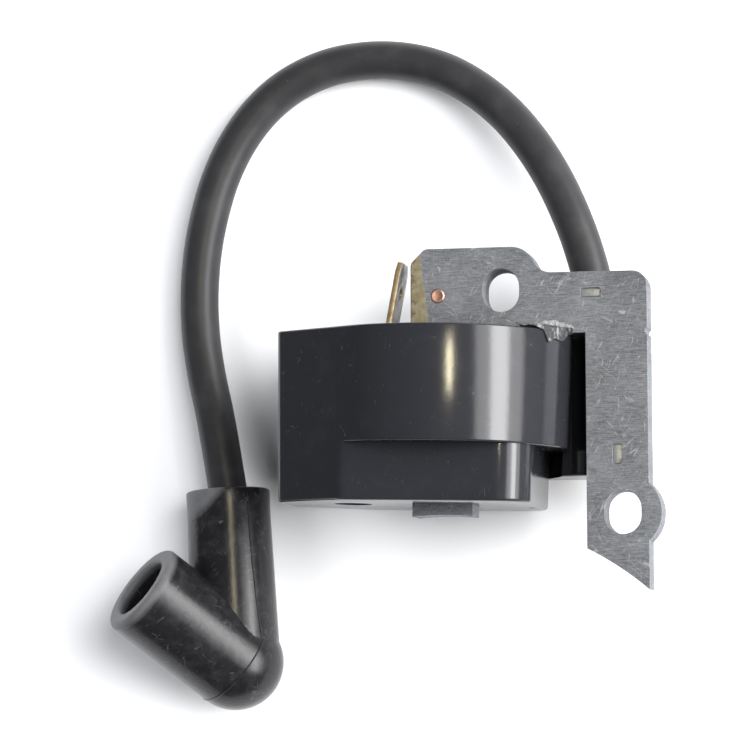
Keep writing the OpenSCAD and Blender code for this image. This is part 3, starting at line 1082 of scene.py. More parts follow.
@dataclass(frozen=True)
class LeadJacket:
    """Satin black extruded jacket with draw lines and dust."""

    name: str = "lead_jacket"
    body: Colour = (0.023, 0.023, 0.0245)
    worn: Colour = (0.048, 0.048, 0.049)
    dust: Colour = (0.32, 0.31, 0.30)

    def material(self) -> bpy.types.Material:
        """Builds the material; the draw lines follow the UV map.

        Returns:
            The finished material.
        """
        s = Shader(self.name)
        uv = s.add("ShaderNodeUVMap", {"uv_map": "around_and_along"}).outputs[0]
        lines = s.mapped(uv, Scale=(26.0, 0.05, 1.0))
        draw = s.noise(1.0, 3.0, 0.6, place=lines)
        skin_texture = s.noise(5.0, 3.0, 0.6)
        bloom = s.noise(0.22, 3.0, 0.6)
        motes = s.cells(0.9).rise(0.05, 0.03) * s.noise(0.4, 2.0).rise(0.52, 0.6)
        colour = s.mix((bloom.rise(0.4, 0.8) * 0.5 + draw * 0.15).clamped(), self.body, self.worn)
        dusted = s.mix(motes * 0.5, colour, self.dust)
        return s.done(
            Base_Color=dusted,
            Roughness=0.33 + bloom * 0.14 + skin_texture * 0.06,
            Specular_IOR_Level=0.32,
            Normal=s.bump(skin_texture, 0.006, 0.5, s.bump(draw, 0.02, 0.4)),
        )


@dataclass(frozen=True)
class PlainJacket:
    """The same jacket on the lead's hidden ends, which have no UV map."""

    name: str = "jacket_end"
    body: Colour = (0.015, 0.015, 0.016)
    worn: Colour = (0.045, 0.045, 0.045)

    def material(self) -> bpy.types.Material:
        """Builds the material.

        Returns:
            The finished material.
        """
        s = Shader(self.name)
        grit = s.noise(3.0, 3.0, 0.6)
        colour = s.mix(grit.rise(0.3, 0.8), self.body, self.worn)
        return s.done(Base_Color=colour, Roughness=0.42 + grit * 0.15, Normal=s.bump(grit, 0.01, 0.5))


@dataclass(frozen=True)
class BootRubber:
    """Satin moulded rubber: mottled bloom, release marks and a grey worn rim."""

    rim: Vector
    way: Vector
    name: str = "boot_rubber"
    body: Colour = (0.011, 0.011, 0.0125)
    bloom: Colour = (0.04, 0.04, 0.043)
    worn: Colour = (0.16, 0.16, 0.166)
    dust: Colour = (0.28, 0.275, 0.27)

    def material(self) -> bpy.types.Material:
        """Builds the material.

        Returns:
            The finished material.
        """
        s = Shader(self.name, self.rim * MM)
        along = s.add("ShaderNodeVectorMath", {"operation": "DOT_PRODUCT"}, (s.place, tuple(self.way)))
        depth = Value(s.tree, along.outputs["Value"])
        mottle = s.noise(0.5, 5.0, 0.65, 0.5)
        grain = s.noise(3.2, 4.0, 0.7)
        fine = s.noise(9.0, 3.0, 0.6)
        wear = depth.rise(-1.7, -0.25) * (0.55 + s.noise(0.9, 4.0, 0.7) * 0.6)
        rubs = s.scratches(0.8, 0.02, 0.9, 4.0, 0.45).most(s.scratches(0.7, 0.018, -0.6, 13.0, 0.42))
        motes = s.cells(1.0).rise(0.06, 0.035) * s.noise(0.5, 2.0).rise(0.5, 0.6)
        bloom = (mottle.rise(0.42, 0.75) * 0.5 + grain.rise(0.5, 0.8) * 0.15).clamped()
        bloomed = s.mix(bloom, self.body, self.bloom)
        rimmed = s.mix((wear * 0.85).clamped(), bloomed, self.worn)
        scuffed = s.mix(rubs * 0.4, rimmed, self.worn)
        colour = s.mix(motes * 0.6, scuffed, self.dust)
        rough = 0.13 + mottle * 0.14 + grain * 0.08 + wear * 0.26 + rubs * 0.1
        dents = s.noise(0.9, 3.0, 0.6)
        normal = s.bump(grain * 0.6 + fine * 0.4 - rubs * 0.5, 0.02, 0.55, s.bump(dents, 0.06, 0.4))
        return s.done(Base_Color=colour, Roughness=rough, Specular_IOR_Level=0.3, Normal=normal)


@dataclass(frozen=True)
class WoundWire:
    """Enamelled wire laid in close turns along the core leg, with painted shade in the grooves between turns.
    """

    name: str
    pitch: float
    copper: Colour = (0.42, 0.15, 0.05)
    enamel_groove_shade: Colour = (0.20, 0.05, 0.012)

    def material(self) -> bpy.types.Material:
        """Builds the material.

        Returns:
            The finished material.
        """
        s = Shader(self.name, ON_CORE.translation)
        _, y, _ = s.axes()
        strand = abs((y * (math.pi / self.pitch)).sine())
        slip = s.noise(0.8, 3.0, 0.6)
        # painted shade: the colour runs dark in the grooves between turns and copper-bright on their crests
        colour = s.mix((strand * 0.6 + slip * 0.4).clamped(), self.enamel_groove_shade, self.copper)
        return s.done(
            Base_Color=colour,
            Metallic=0.55,
            Roughness=0.28 + slip * 0.15,
            Normal=s.bump(strand, self.pitch * 0.4, 0.8),
        )


@dataclass(frozen=True)
class MouldedPart:
    """A plain moulded or coated body with a fine texture and slight stains."""

    name: str
    body: Colour
    stain: Colour
    rough: float = 0.45
    grain: float = 4.0
    depth: float = 0.012

    def material(self) -> bpy.types.Material:
        """Builds the material.

        Returns:
            The finished material.
        """
        s = Shader(self.name)
        fine = s.noise(self.grain, 4.0, 0.6)
        patches = s.noise(self.grain * 0.15, 3.0, 0.6)
        colour = s.mix((patches.rise(0.35, 0.75) * 0.7 + fine * 0.2).clamped(), self.body, self.stain)
        return s.done(
            Base_Color=colour, Roughness=self.rough + patches * 0.12, Normal=s.bump(fine, self.depth, 0.6)
        )


@dataclass(frozen=True)
class BoardLaminate:
    """Green glass-epoxy board with a weave under the mask and copper tracks."""

    name: str = "board_laminate"
    mask: Colour = (0.012, 0.12, 0.05)
    track: Colour = (0.03, 0.22, 0.09)
    weave_shade: Colour = (0.03, 0.09, 0.045)
    weave: float = 4.2

    def material(self) -> bpy.types.Material:
        """Builds the material.

        Returns:
            The finished material.
        """
        s = Shader(self.name, ON_CORE.translation)
        _, y, z = s.axes()
        weave = abs((y * self.weave).sine()) * abs((z * self.weave).sine())
        tracks = s.cells(0.32, feature="DISTANCE_TO_EDGE").rise(0.1, 0.07)
        colour = s.mix(tracks, self.mask, self.track)
        shaded = s.mix((weave * 0.35).clamped(), colour, self.weave_shade)
        normal = s.bump(tracks + weave * 0.2, 0.035, 0.7)
        return s.done(Base_Color=shaded, Roughness=0.3 + weave * 0.15, Normal=normal)


@dataclass(frozen=True)
class BandedBody:
    """A lacquered resistor or a glass diode with colour bands along an axis of the working frame."""

    name: str
    body: Colour
    bands: Colour
    axis: int
    pitch: float

    def material(self) -> bpy.types.Material:
        """Builds the material.

        Returns:
            The finished material.
        """
        s = Shader(self.name, ON_CORE.translation)
        along = s.axes()[self.axis]
        wave = (along / self.pitch).fraction()
        band = wave.rise(0.3, 0.33) * wave.rise(0.6, 0.57)
        gloss = s.noise(3.0, 3.0, 0.6)
        colour = s.mix(band, s.mix(gloss * 0.4, self.body, self.bands), self.bands)
        return s.done(Base_Color=colour, Roughness=0.25 + gloss * 0.15, Normal=s.bump(gloss, 0.01, 0.5))


# ---------------------------------------------------------------------------
# Camera and light
# ---------------------------------------------------------------------------


@dataclass
class Viewpoint:
    """The camera, looking down at the coil from a little to its right and below."""

    aim: tuple[float, float, float] = (-9.65, -5.45, 3.0)
    away: float = 521.43
    right_tilt: float = 10.3
    low_tilt: float = 5.3
    roll: float = 0.25
    lens: float = 175.2
    sensor: float = 36.0
    nearest: float = 0.01

    def build(self) -> bpy.types.Object:
        """Makes the camera and gives it to the scene."""
        right, low = math.radians(self.right_tilt), math.radians(self.low_tilt)
        back = Vector((math.sin(right) * math.cos(low), -math.sin(low), math.cos(right) * math.cos(low)))
        aim = ON_CORE @ Vector(self.aim)
        across = Vector((0, 1, 0)).cross(back).normalized()
        up = back.cross(across)
        turn = Matrix((across, up, back)).transposed() @ Matrix.Rotation(math.radians(-self.roll), 3, "Z")
        data = bpy.data.cameras.new("camera")
        data.lens = self.lens
        data.sensor_width = self.sensor
        data.clip_start = self.nearest
        camera = bpy.data.objects.new("camera", data)
        camera.matrix_world = Matrix.Translation(aim + back * self.away * MM) @ turn.to_4x4()
        bpy.context.scene.collection.objects.link(camera)
        bpy.context.scene.camera = camera
        return camera


class Reach(Enum):
    """What a light acts on."""

    ALL = "all"
    GLOSS = "reflections only"
    DIFFUSE = "diffuse light only"


@dataclass(frozen=True)
class Panel:
    """One soft light, placed by the direction it stands in from the coil."""

    name: str
    across: float
    rise: float
    away: float
    wide: float
    tall: float
    power: float
    colour: Colour = (1.0, 1.0, 1.0)
    reach: Reach = Reach.ALL

    def build(self, aim: Vector) -> bpy.types.Object:
        """Makes the light.

        Args:
            aim: The point it faces.

        Returns:
            The light object.
        """
        a, e = math.radians(self.across), math.radians(self.rise)
        back = Vector((math.sin(a) * math.cos(e), math.sin(e), math.cos(a) * math.cos(e)))
        data = bpy.data.lights.new(self.name, "AREA")
        data.shape = "RECTANGLE"
        data.size = self.wide
        data.size_y = self.tall
        data.energy = self.power
        data.color = self.colour
        light = bpy.data.objects.new(self.name, data)
        light.matrix_world = toward(aim + back * self.away, back, Vector((math.cos(a), 0, -math.sin(a))))
        light.visible_camera = False
        light.visible_glossy = self.reach is not Reach.DIFFUSE
        light.visible_diffuse = self.reach is not Reach.GLOSS
        bpy.context.scene.collection.objects.link(light)
        return light


@dataclass
class Studio:
    """A plain pale floor and soft light."""

    floor_size: float = 3.0
    floor_colour: Colour = (0.93, 0.93, 0.935)
    world: Colour = (0.05, 0.05, 0.052)
    flag_gap: float = 0.035
    flag_lift: float = 0.0003
    flag_colour: Colour = (0.05, 0.05, 0.05)
    panels: tuple[Panel, ...] = (
        Panel("side_box", 61.0, 6.0, 0.85, 0.74, 1.1, 12.0),
        Panel("side_core", 60.0, 6.0, 0.84, 0.25, 0.9, 7.5),
        Panel("warm_strip", 14.4, 5.5, 0.9, 0.07, 0.16, 1.5, (1.0, 0.9, 0.62), Reach.GLOSS),
        Panel("key", 26.0, 8.0, 1.0, 0.5, 0.5, 7.5, (0.97, 0.98, 1.0), Reach.DIFFUSE),
        Panel("left_fill", -50.0, 8.0, 1.1, 0.7, 0.9, 7.5, (0.95, 0.97, 1.0), Reach.DIFFUSE),
    )

    def build(self) -> None:
        """Makes the floor, the world and the lights."""
        scene = bpy.context.scene
        scene.view_settings.view_transform = "Standard"
        world = bpy.data.worlds.new("studio")
        world.use_nodes = True
        world.node_tree.nodes["Background"].inputs["Color"].default_value = (*self.world, 1.0)
        scene.world = world
        bm = bmesh.new()
        bmesh.ops.create_grid(bm, x_segments=1, y_segments=1, size=self.floor_size / 2)
        mesh = bpy.data.meshes.new("floor")
        bm.to_mesh(mesh)
        bm.free()
        floor = new_piece("floor", mesh)
        paint = Shader("floor")
        mesh.materials.append(paint.done(Base_Color=self.floor_colour, Roughness=0.9, Specular_IOR_Level=0.1))
        aim = ON_CORE @ Vector((0, 0, 0))
        for panel in self.panels:
            panel.build(aim)
        self.flag()

    def flag(self) -> None:
        """Lays a dark flag over the far floor on the right, which only reflections see."""
        bm = bmesh.new()
        bmesh.ops.create_grid(bm, x_segments=1, y_segments=1, size=0.5)
        mesh = bpy.data.meshes.new("flag")
        bm.to_mesh(mesh)
        bm.free()
        near = CAD_BOX[1].x + self.flag_gap
        far = self.floor_size / 2
        mesh.transform(
            Matrix.Translation(((near + far) / 2, 0, self.flag_lift))
            @ Matrix.Diagonal((far - near, self.floor_size, 1, 1))
        )
        flag = new_piece("flag", mesh)
        mesh.materials.append(Shader("flag").done(Base_Color=self.flag_colour, Roughness=0.9))
        for ray in ("camera", "diffuse", "transmission", "volume_scatter", "shadow"):
            setattr(flag, "visible_" + ray, False)


# ---------------------------------------------------------------------------
# Sub-assemblies
# ---------------------------------------------------------------------------


def settle(piece: bpy.types.Object, body: Body, slot: str, *nodes: str) -> bpy.types.Object:
    """Makes a piece ride on a body and hides the CAD nodes that it stands for.

    Args:
        piece: The finished piece.
        body: The body it rides on.
        slot: The record's material slot; not used.
        *nodes: The CAD nodes that it replaces.

    Returns:
        The piece.
    """
    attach(piece, body.value)
    if nodes:
        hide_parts(*nodes)
    log.info("%s: %d faces", piece.name, len(piece.data.polygons))
    return piece


def add_piece(
    mesh: bpy.types.Mesh, place: Matrix, sharp: float, finish: Any, name: str, body: Body, slot: str,
    *nodes: str,
) -> bpy.types.Object:
    """Puts a drawn mesh in its place, gives it its finish and settles it.

    Args:
        mesh: The mesh as drawn.
        place: Takes it to the part's frame.
        sharp: Angle in degrees from which an edge stays sharp.
        finish: Its finish, or None where the mesh has its material.
        name: The piece's name.
        body: The body it rides on.
        slot: The record's material slot.
        *nodes: The CAD nodes that it replaces.

    Returns:
        The piece.
    """
    finish_mesh(mesh, place, sharp)
    if finish is not None:
        mesh.materials.clear()
        mesh.materials.append(finish.material())
    return settle(new_piece(name, mesh), body, slot, *nodes)


@dataclass
class Lead:
    """The high-tension lead, a free cord from the tower to the boot."""

    diameter: float = 5.7
    length: float = 138.2
    sides: int = 40
    spacing: float = 0.8
    route: tuple[tuple[float, float, float], ...] = (
        (17.1, 14.0, 9.5),
        (16.6, 19.9, 9.4),
        (15.1, 25.7, 8.9),
        (13.0, 31.3, 8.2),
        (10.4, 36.7, 7.3),
        (7.2, 41.8, 6.3),
        (3.4, 46.4, 5.4),
        (-1.1, 50.3, 4.5),
        (-6.2, 53.3, 3.7),
        (-11.9, 55.0, 3.2),
        (-17.9, 55.4, 2.95),
        (-23.8, 54.5, 2.9),
        (-29.3, 52.1, 2.9),
        (-33.8, 48.5, 2.9),
        (-37.4, 43.9, 2.9),
        (-40.1, 38.5, 2.9),
        (-41.9, 32.6, 2.9),
        (-43.0, 26.6, 2.9),
        (-43.4, 20.5, 2.95),
        (-43.1, 14.5, 3.2),
        (-42.1, 8.6, 3.8),
        (-40.7, 2.9, 4.7),
        (-39.5, -2.8, 5.5),
        (-38.4, -8.7, 6.05),
    )

    def build(self, boot: bpy.types.Object, clip: bpy.types.Object) -> bpy.types.Object:
        """Args:
            boot: The boot on its far end; not used.
            clip: The wire clip in the boot; not used.

        Returns:
            The lead.
        """
        line = smooth_line([Vector(p) for p in self.route], self.spacing)
        radius = self.diameter / 2
        mesh = tube("high_tension_lead", line, lambda _: radius, self.sides)
        piece = add_piece(
            mesh, ON_PART, 60, LeadJacket(), "high_tension_lead", Body.COIL, "lead_insulation", "hv_lead"
        )
        line[0] * MM
        [p * MM for p in line]
        return piece


@dataclass
class Core:
    """Twelve stamped plates, their interlocks and the copper earth plug."""

    plates: int = 12
    thick: float = 6.0
    slip: float = 0.035
    leg: float = 8.7
    free_in: float = 20.6
    free_out: float = 29.4
    bar: float = 8.7
    chamfer: float = 1.9
    shoulder: Point2 = (10.0, 3.6)
    hollow_x: float = 15.8
    corner: float = 2.1
    foot: float = 36.5
    flywheel: float = 45.0
    ear: float = 5.5
    slot: Point2 = (5.2, 6.2)
    slot_high: Point2 = (8.6, 6.3)
    slot_low: Point2 = (25.7, -25.5)
    interlocks: tuple[tuple[Point2, float, float], ...] = (
        ((21.4, 5.7), 2.8, 1.3),
        ((25.0, -17.3), 1.3, 2.8),
    )
    sunk: float = 0.28
    pin: Point2 = (-0.55, 5.7)
    pin_r: float = 1.03
    notch: Point2 = (29.55, 0.1)

    def pole(self, x: float) -> float:
        """Height of the pole faces' circle at a distance from the core leg's axis."""
        centre = -self.foot - math.sqrt(self.flywheel**2 - self.free_out**2)
        return centre + math.sqrt(self.flywheel**2 - x**2)

    def outline(self) -> list[Point2]:
        """The stamping's outer outline.

        Returns:
            The outline, from the lobe round to the core leg.
        """
        shoulder_x, shoulder_r = self.shoulder
        turn = 2 * math.atan2(LOBE_HIGH - self.bar, self.hollow_x - shoulder_x)
        hollow_r = (self.hollow_x - shoulder_x) / math.sin(turn) - shoulder_r
        bend = math.degrees(turn)
        ear = math.degrees(math.acos((self.free_out - self.slot_low[0]) / self.ear))
        half = self.leg / 2
        foot_steps = [self.free_out + (self.free_in - self.free_out) * i / 8 for i in range(9)]
        tip_steps = [half - self.leg * i / 8 for i in range(9)]
        return (
            [(-LOBE_LEFT, 0.0), (-LOBE_LEFT, LOBE_HIGH - self.chamfer - 0.5)]
            + [(-LOBE_LEFT + 0.15, LOBE_HIGH - self.chamfer), (-LOBE_LEFT + self.chamfer, LOBE_HIGH - 0.15)]
            + [(-LOBE_LEFT + self.chamfer + 0.5, LOBE_HIGH)]
            + arc((shoulder_x, LOBE_HIGH - shoulder_r), shoulder_r, 90, 90 - bend, 12)
            + arc((self.hollow_x, self.bar + hollow_r), hollow_r, 270 - bend, 270, 12)
            + arc((self.free_out - self.corner, self.bar - self.corner), self.corner, 90, 0, 10)
            + arc(self.notch, 0.5, 107.5, 252.5, 6)
            + arc(self.slot_low, self.ear, ear, -ear, 24)
            + [(x, self.pole(x)) for x in foot_steps]
            + [(self.free_in, 0.0), (half, 0.0)]
            + [(x, self.pole(x)) for x in tip_steps]
            + [(-half, 0.0)]
        )

    def build(self) -> None:
        """Makes the stack, its interlocks and the earth plug."""
        pitch = self.thick / self.plates
        holes = [slot_outline(at, *self.slot) for at in (self.slot_high, self.slot_low)]
        holes += [arc(self.pin, self.pin_r, 0, 345, 23)]
        holes += [soft_box(at, w, h, 0.35) for at, w, h in self.interlocks]
        plate = sheet_metal("core_plate", [self.outline()] + holes, pitch * 0.94, 0.05)
        steel = CutSteel().material()
        stack = self.stacked(plate, pitch, steel)
        add_piece(
            stack, ON_CORE, 16, None, "core_plates", Body.COIL, "core_steel", "core_laminations"
        )
        pads = [self.pad(at, w, h) for at, w, h in self.interlocks]
        locks = join_meshes("core_interlocks", pads)
        pressed = BareMetal(
            "pressed_steel", (0.50, 0.52, 0.56), (0.30, 0.31, 0.34), 0.38, (0.3, 1.6, 1.0), 3.0
        )
        add_piece(locks, ON_CORE, 40, pressed, "core_interlocks", Body.COIL, "core_steel")
        self.earth_plug()

    def stacked(self, plate: bpy.types.Mesh, pitch: float, steel: bpy.types.Material) -> bpy.types.Mesh:
        """Stacks copies of one plate, each a hair out of line.

        Args:
            plate: The plate, around Z = 0.
            pitch: Distance between plates.
            steel: Their material.

        Returns:
            The whole stack.
        """
        tree = GeoTree("lamination_stack")
        count = tree.named("Plates", self.plates, "NodeSocketInt")
        step = tree.named("Pitch", pitch)
        slip = tree.named("Slip", self.slip)
        seed = tree.named("Seed", 7, "NodeSocketInt")
        lift = tree.add("ShaderNodeCombineXYZ", Z=step)
        first = tree.add("ShaderNodeMath", {"operation": "MULTIPLY"})
        tree.tree.links.new(step, first.inputs[0])
        first.inputs[1].default_value = -(self.plates - 1) / 2
        start = tree.add("ShaderNodeCombineXYZ", Z=first.outputs[0])
        line = tree.add(
            "GeometryNodeMeshLine", {"mode": "OFFSET"},
            Count=count, Start_Location=start.outputs[0], Offset=lift.outputs[0],
        )
        amount = tree.add("ShaderNodeCombineXYZ", X=slip, Y=slip)
        random = tree.add(
            "FunctionNodeRandomValue", {"data_type": "FLOAT_VECTOR"},
            Min=(-1.0, -1.0, 0.0), Max=(1.0, 1.0, 0.0), Seed=seed,
        )
        shift = tree.add("ShaderNodeVectorMath", {"operation": "MULTIPLY"})
        tree.tree.links.new(random.outputs[0], shift.inputs[0])
        tree.tree.links.new(amount.outputs[0], shift.inputs[1])
        loose = tree.add("GeometryNodeSetPosition", Geometry=line.outputs[0], Offset=shift.outputs[0])
        placed = tree.add("GeometryNodeInstanceOnPoints", Points=loose.outputs[0], Instance=tree.geometry)
        return tree.run(plate, placed.outputs[0], steel)

    def pad(self, at: Point2, wide: float, high: float) -> bpy.types.Mesh:
        """The pressed floor of one interlock, sunk below the top plate's face.

        Args:
            at: Its middle.
            wide: Its width.
            high: Its height.

        Returns:
            The mesh.
        """
        low, high_z = -self.thick / 2 + 0.05, self.thick / 2 - self.sunk
        rings = []
        for z, inset in ((low, 0.0), (high_z - 0.1, 0.0), (high_z - 0.02, 0.05), (high_z, 0.14)):
            outline = soft_box(at, wide - 0.02 - 2 * inset, high - 0.02 - 2 * inset, 0.33 - inset)
            rings.append([Vector((x, y, z)) for x, y in outline])
        bm = bmesh.new()
        skin(bm, rings)
        return mesh_from(bm, "interlock")

    def earth_plug(self) -> None:
        """The staked copper plug in the crossbar."""
        r, top = self.pin_r - 0.02, self.thick / 2
        low = -self.thick / 2 - 0.9
        profile = [(0, low), (r - 0.1, low), (r, low + 0.1), (r, top - 0.08), (r - 0.05, top + 0.02)]
        profile += [(r - 0.2, top + 0.06), (r - 0.42, top + 0.0), (r - 0.6, top - 0.05), (0, top - 0.04)]
        mesh = turned("earth_plug", profile, 48)
        mesh.transform(Matrix.Translation((self.pin[0], self.pin[1], 0)))
        copper = BareMetal("earth_copper", (0.86, 0.56, 0.47), (0.60, 0.31, 0.24), 0.36, (1, 1, 1), 3.0)
        add_piece(mesh, ON_CORE, 50, copper, "earth_plug", Body.COIL, "copper", "ground_pin")


@dataclass
class Housing:
    """The moulded housing with its lead tower."""

    radius: float = 18.3
    left: float = 22.95
    end_half: float = 6.5
    end_fillet: float = 1.2
    body_h: float = 16.3
    box_h: float = 24.4
    box_half: float = 13.6
    box_right: float = 14.4
    box_corner: float = 5.0
    wall: float = 1.6
    turn: float = 1.3
    shift: Point2 = (-0.1, 0.3)
    draft: float = 1.2
    draft_middle: float = -10.0
    rim_round: float = 0.28
    lip_round: float = 0.15
    ledge_round: float = 0.3
    foot_round: float = 0.45
    tower_at: Point2 = (20.9, -8.8)
    tower_r: float = 5.4
    tower_low: float = -19.9
    tower_top: float = 2.0
    tower_bore: float = 3.15
    tower_floor: float = -16.4
    tower_edges: tuple[float, float, float] = (0.4, 0.5, 0.25)
    web: Point2 = (-13.1, -4.5)
    web_left: float = 8.0
    leg: Point2 = (8.9, 6.2)
    mark_at: Point2 = (-12.4, 2.0)
    mark_r: float = 2.7
    mark_deep: float = 0.9
    arrow_at: Point2 = (12.6, -4.6)
    arrow_r: float = 1.1
    arrow_deep: float = 0.4
    turns: list[float] = field(default_factory=list)

    def teardrop(self, inset: float) -> list[Point2]:
        """The round upper outline in X and Z, drawn in by an inset.

        Args:
            inset: How far it is drawn in.

        Returns:
            The outline.
        """
        fillet = self.end_fillet
        cx, cz = -self.left + fillet, self.end_half - fillet
        tilt = math.atan2(cz, cx) - math.acos((self.radius - fillet) / math.hypot(cx, cz))
        big = math.degrees(tilt)
        small_r = max(fillet - inset, 0.05)
        if inset > fillet:
            cx += inset - fillet
            cz -= (inset - fillet) * 0.6
        return (
            arc((0, 0), self.radius - inset, -big, big, 180)
            + arc((cx, cz), small_r, big, 180, 8)
            + arc((cx, -cz), small_r, 180, 360 - big, 8)
        )

    def box(self, inset: float) -> list[Point2]:
        """The lower box's outline in X and Z, drawn in by an inset.

        Args:
            inset: How far it is drawn in.

        Returns:
            The outline.
        """
        half, right = self.box_half - inset, self.box_right - inset
        r = max(self.box_corner - inset, 0.1)
        left = -self.left - 3
        return (
            arc((right - r, half - r), r, 90, 0, 16)[::-1]
            + [(left, half), (left, -half)]
            + arc((right - r, -(half - r)), r, 270, 360, 16)
        )

    def angles(self) -> list[float]:
        """Directions in which the outlines are sampled, closer together at the corners.

        Returns:
            The directions, in radians.
        """
        if not self.turns:
            keys = [math.atan2(z, x) % (2 * math.pi) for x, z in self.teardrop(0)[181:] + self.box(0)]
            even = [2 * math.pi * i / 200 for i in range(200)]
            merged = sorted(even + keys)
            self.turns = [a for a, b in zip(merged, merged[1:] + [merged[0] + 7]) if b - a > 0.004]
        return self.turns

    def sampled(self, outline: Sequence[Point2]) -> list[float]:
        """How far an outline reaches in each direction."""
        return [distance_out(outline, a) for a in self.angles()]

    def ring(self, reaches: Sequence[float], heights: Sequence[float]) -> list[Vector]:
        """Points of one ring from its reach and height in each direction."""
        rows = zip(reaches, heights, self.angles())
        return [Vector((r * math.cos(a), h, r * math.sin(a))) for r, h, a in rows]

    def rounded(
        self, reaches: Sequence[float], sizes: Sequence[float], y: float, up: float
    ) -> list[list[Vector]]:
        """Rings of a rounded edge.

        Args:
            reaches: The outline's reach in each direction.
            sizes: The rounding's size in each direction.
            y: Height of the face that the edge ends at.
            up: 1 where the face looks up and -1 where it looks down.

        Returns:
            Rings from the side to the face.
        """
        rings = []
        for k in range(5):
            a = math.pi / 2 * k / 4
            out = [r - s * (1 - math.cos(a)) for r, s in zip(reaches, sizes)]
            high = [y - up * s * (1 - math.sin(a)) for s in sizes]
            rings.append(self.ring(out, high))
        return rings

    def shell(self) -> bpy.types.Mesh:
        """The cup: its outside from the foot to the rim, and its inside down again.

        Returns:
            The mesh.
        """
        upper = self.sampled(self.teardrop(0))
        lower = [min(a, b) for a, b in zip(upper, self.sampled(self.box(0)))]
        inner_upper = self.sampled(self.teardrop(self.wall))
        inner_lower = [min(a, b) for a, b in zip(inner_upper, self.sampled(self.box(self.wall)))]
        n = len(upper)
        gap = [min(self.ledge_round, max(0.0, a - b) * 0.5) for a, b in zip(upper, lower)]
        rings = self.rounded(lower, [self.foot_round] * n, -self.box_h, -1)[::-1]
        rings.append(self.ring(lower, [-self.body_h] * n))
        rings += self.rounded(upper, gap, -self.body_h, -1)[::-1]
        rings += self.rounded(upper, [self.rim_round] * n, 0, 1)
        rings += self.rounded(inner_upper, [-self.lip_round] * n, 0, 1)[::-1]
        floor = self.wall - self.body_h
        rings.append(self.ring(inner_upper, [floor] * n))
        rings.append(self.ring(inner_lower, [floor] * n))
        rings.append(self.ring(inner_lower, [self.wall - self.box_h] * n))
        bm = bmesh.new()
        skin(bm, rings)
        self.draw_in(bm)
        return mesh_from(bm, "housing_shell")

    def draw_in(self, bm: bmesh.types.BMesh) -> None:
        """Gives a solid the mould's draft and sets it askew on the core leg.

        Args:
            bm: The solid as drawn.
        """
        slope = math.tan(math.radians(self.draft))
        place = self.askew()
        for vert in bm.verts:
            x, y, z = vert.co
            far = math.hypot(x, z)
            share = 1 + slope * (y - self.draft_middle) / max(far, 1.0)
            vert.co = place @ Vector((x * share, y, z * share))

    def askew(self) -> Matrix:
        """How the moulded body stands on the core leg."""
        turn = Matrix.Rotation(math.radians(-self.turn), 4, "Z")
        return Matrix.Translation((self.shift[0], self.shift[1], 0)) @ turn

    def upright(self, mesh: bpy.types.Mesh, at: Point2) -> bpy.types.Mesh:
        """Stands a turned shape along Y at a place in X and Z."""
        mesh.transform(Matrix.Translation((at[0], 0, at[1])) @ Matrix.Rotation(math.radians(-90), 4, "X"))
        return mesh

    def block(self, low: Sequence[float], high: Sequence[float], soft: float = 0.0) -> bpy.types.Mesh:
        """A box between two corners, with softened edges.

        Args:
            low: Its lowest corner.
            high: Its highest corner.
            soft: Size of the softened edges.

        Returns:
            The mesh.
        """
        bm = bmesh.new()
        size = [h - w for w, h in zip(low, high)]
        middle = [(h + w) / 2 for w, h in zip(low, high)]
        bmesh.ops.create_cube(bm, size=1.0, matrix=Matrix.Translation(middle) @ Matrix.Diagonal((*size, 1)))
        if soft:
            bmesh.ops.bevel(bm, geom=list(bm.edges), offset=soft, segments=3, profile=0.5, affect="EDGES")
        return mesh_from(bm, "block")

    def tower(self) -> bpy.types.Mesh:
        """The tower that holds the lead, with its bore.

        Returns:
            The mesh.
        """
        r, top, bore = self.tower_r, self.tower_top, self.tower_bore
        low = self.tower_low
        foot, lip, mouth = self.tower_edges
        edge = arc((r - foot, low + foot), foot, -90, 0, 4) + arc((r - lip, top - lip), lip, 0, 90, 5)
        inside = [(bore + mouth, top), (bore, top - mouth), (bore, self.tower_floor), (0, self.tower_floor)]
        return self.upright(turned("tower", [(0, low)] + edge + inside, 96), self.tower_at)

    def build(self) -> None:
        """Makes the housing."""
        z_back, z_front = self.web
        web = self.block(
            (self.web_left, self.tower_low + 0.01, z_back), (self.tower_at[0] - 0.3, -0.02, z_front), 0.35
        )
        lx, lz = self.leg[0] / 2, self.leg[1] / 2
        hole = self.block((-lx, -self.box_h - 1, -lz), (lx, -self.box_h + self.wall + 1, lz))
        web = combined(web, [(Cut.TAKE, self.cavity_plug())])
        mesh = combined(
            self.shell(),
            [(Cut.ADD, web), (Cut.ADD, self.tower()), (Cut.TAKE, self.bore_plug()), (Cut.TAKE, hole),
             (Cut.TAKE, self.mark(self.mark_r, self.mark_deep, 64, self.mark_at)),
             (Cut.TAKE, self.mark(self.arrow_r, self.arrow_deep, 3, self.arrow_at))],
        )
        mesh.name = "coil_housing"
        add_piece(
            mesh, ON_CORE, 33, MouldedBlack(), "coil_housing", Body.COIL, "housing_plastic", "housing"
        )

    def mark(self, radius: float, deep: float, sides: int, at: Point2) -> bpy.types.Mesh:
        """A drill for one mark in the bottom.

        Args:
            radius: The mark's radius.
            deep: How deep it is.
            sides: Its number of sides.
            at: Its place in X and Z.

        Returns:
            The drill.
        """
        low, high = -self.box_h - 1, -self.box_h + deep
        mesh = self.upright(turned("mark", rod(radius, low, high), sides), at)
        mesh.transform(self.askew())
        return mesh

    def cavity_plug(self) -> bpy.types.Mesh:
        """A solid of the housing's inside, which the web stays out of.

        Returns:
            The mesh.
        """
        reaches = [r + self.wall * 0.5 for r in self.sampled(self.teardrop(self.wall))]
        n = len(reaches)
        bm = bmesh.new()
        skin(bm, [self.ring(reaches, [self.wall - self.box_h] * n), self.ring(reaches, [1.0] * n)])
        self.draw_in(bm)
        return mesh_from(bm, "cavity_plug")

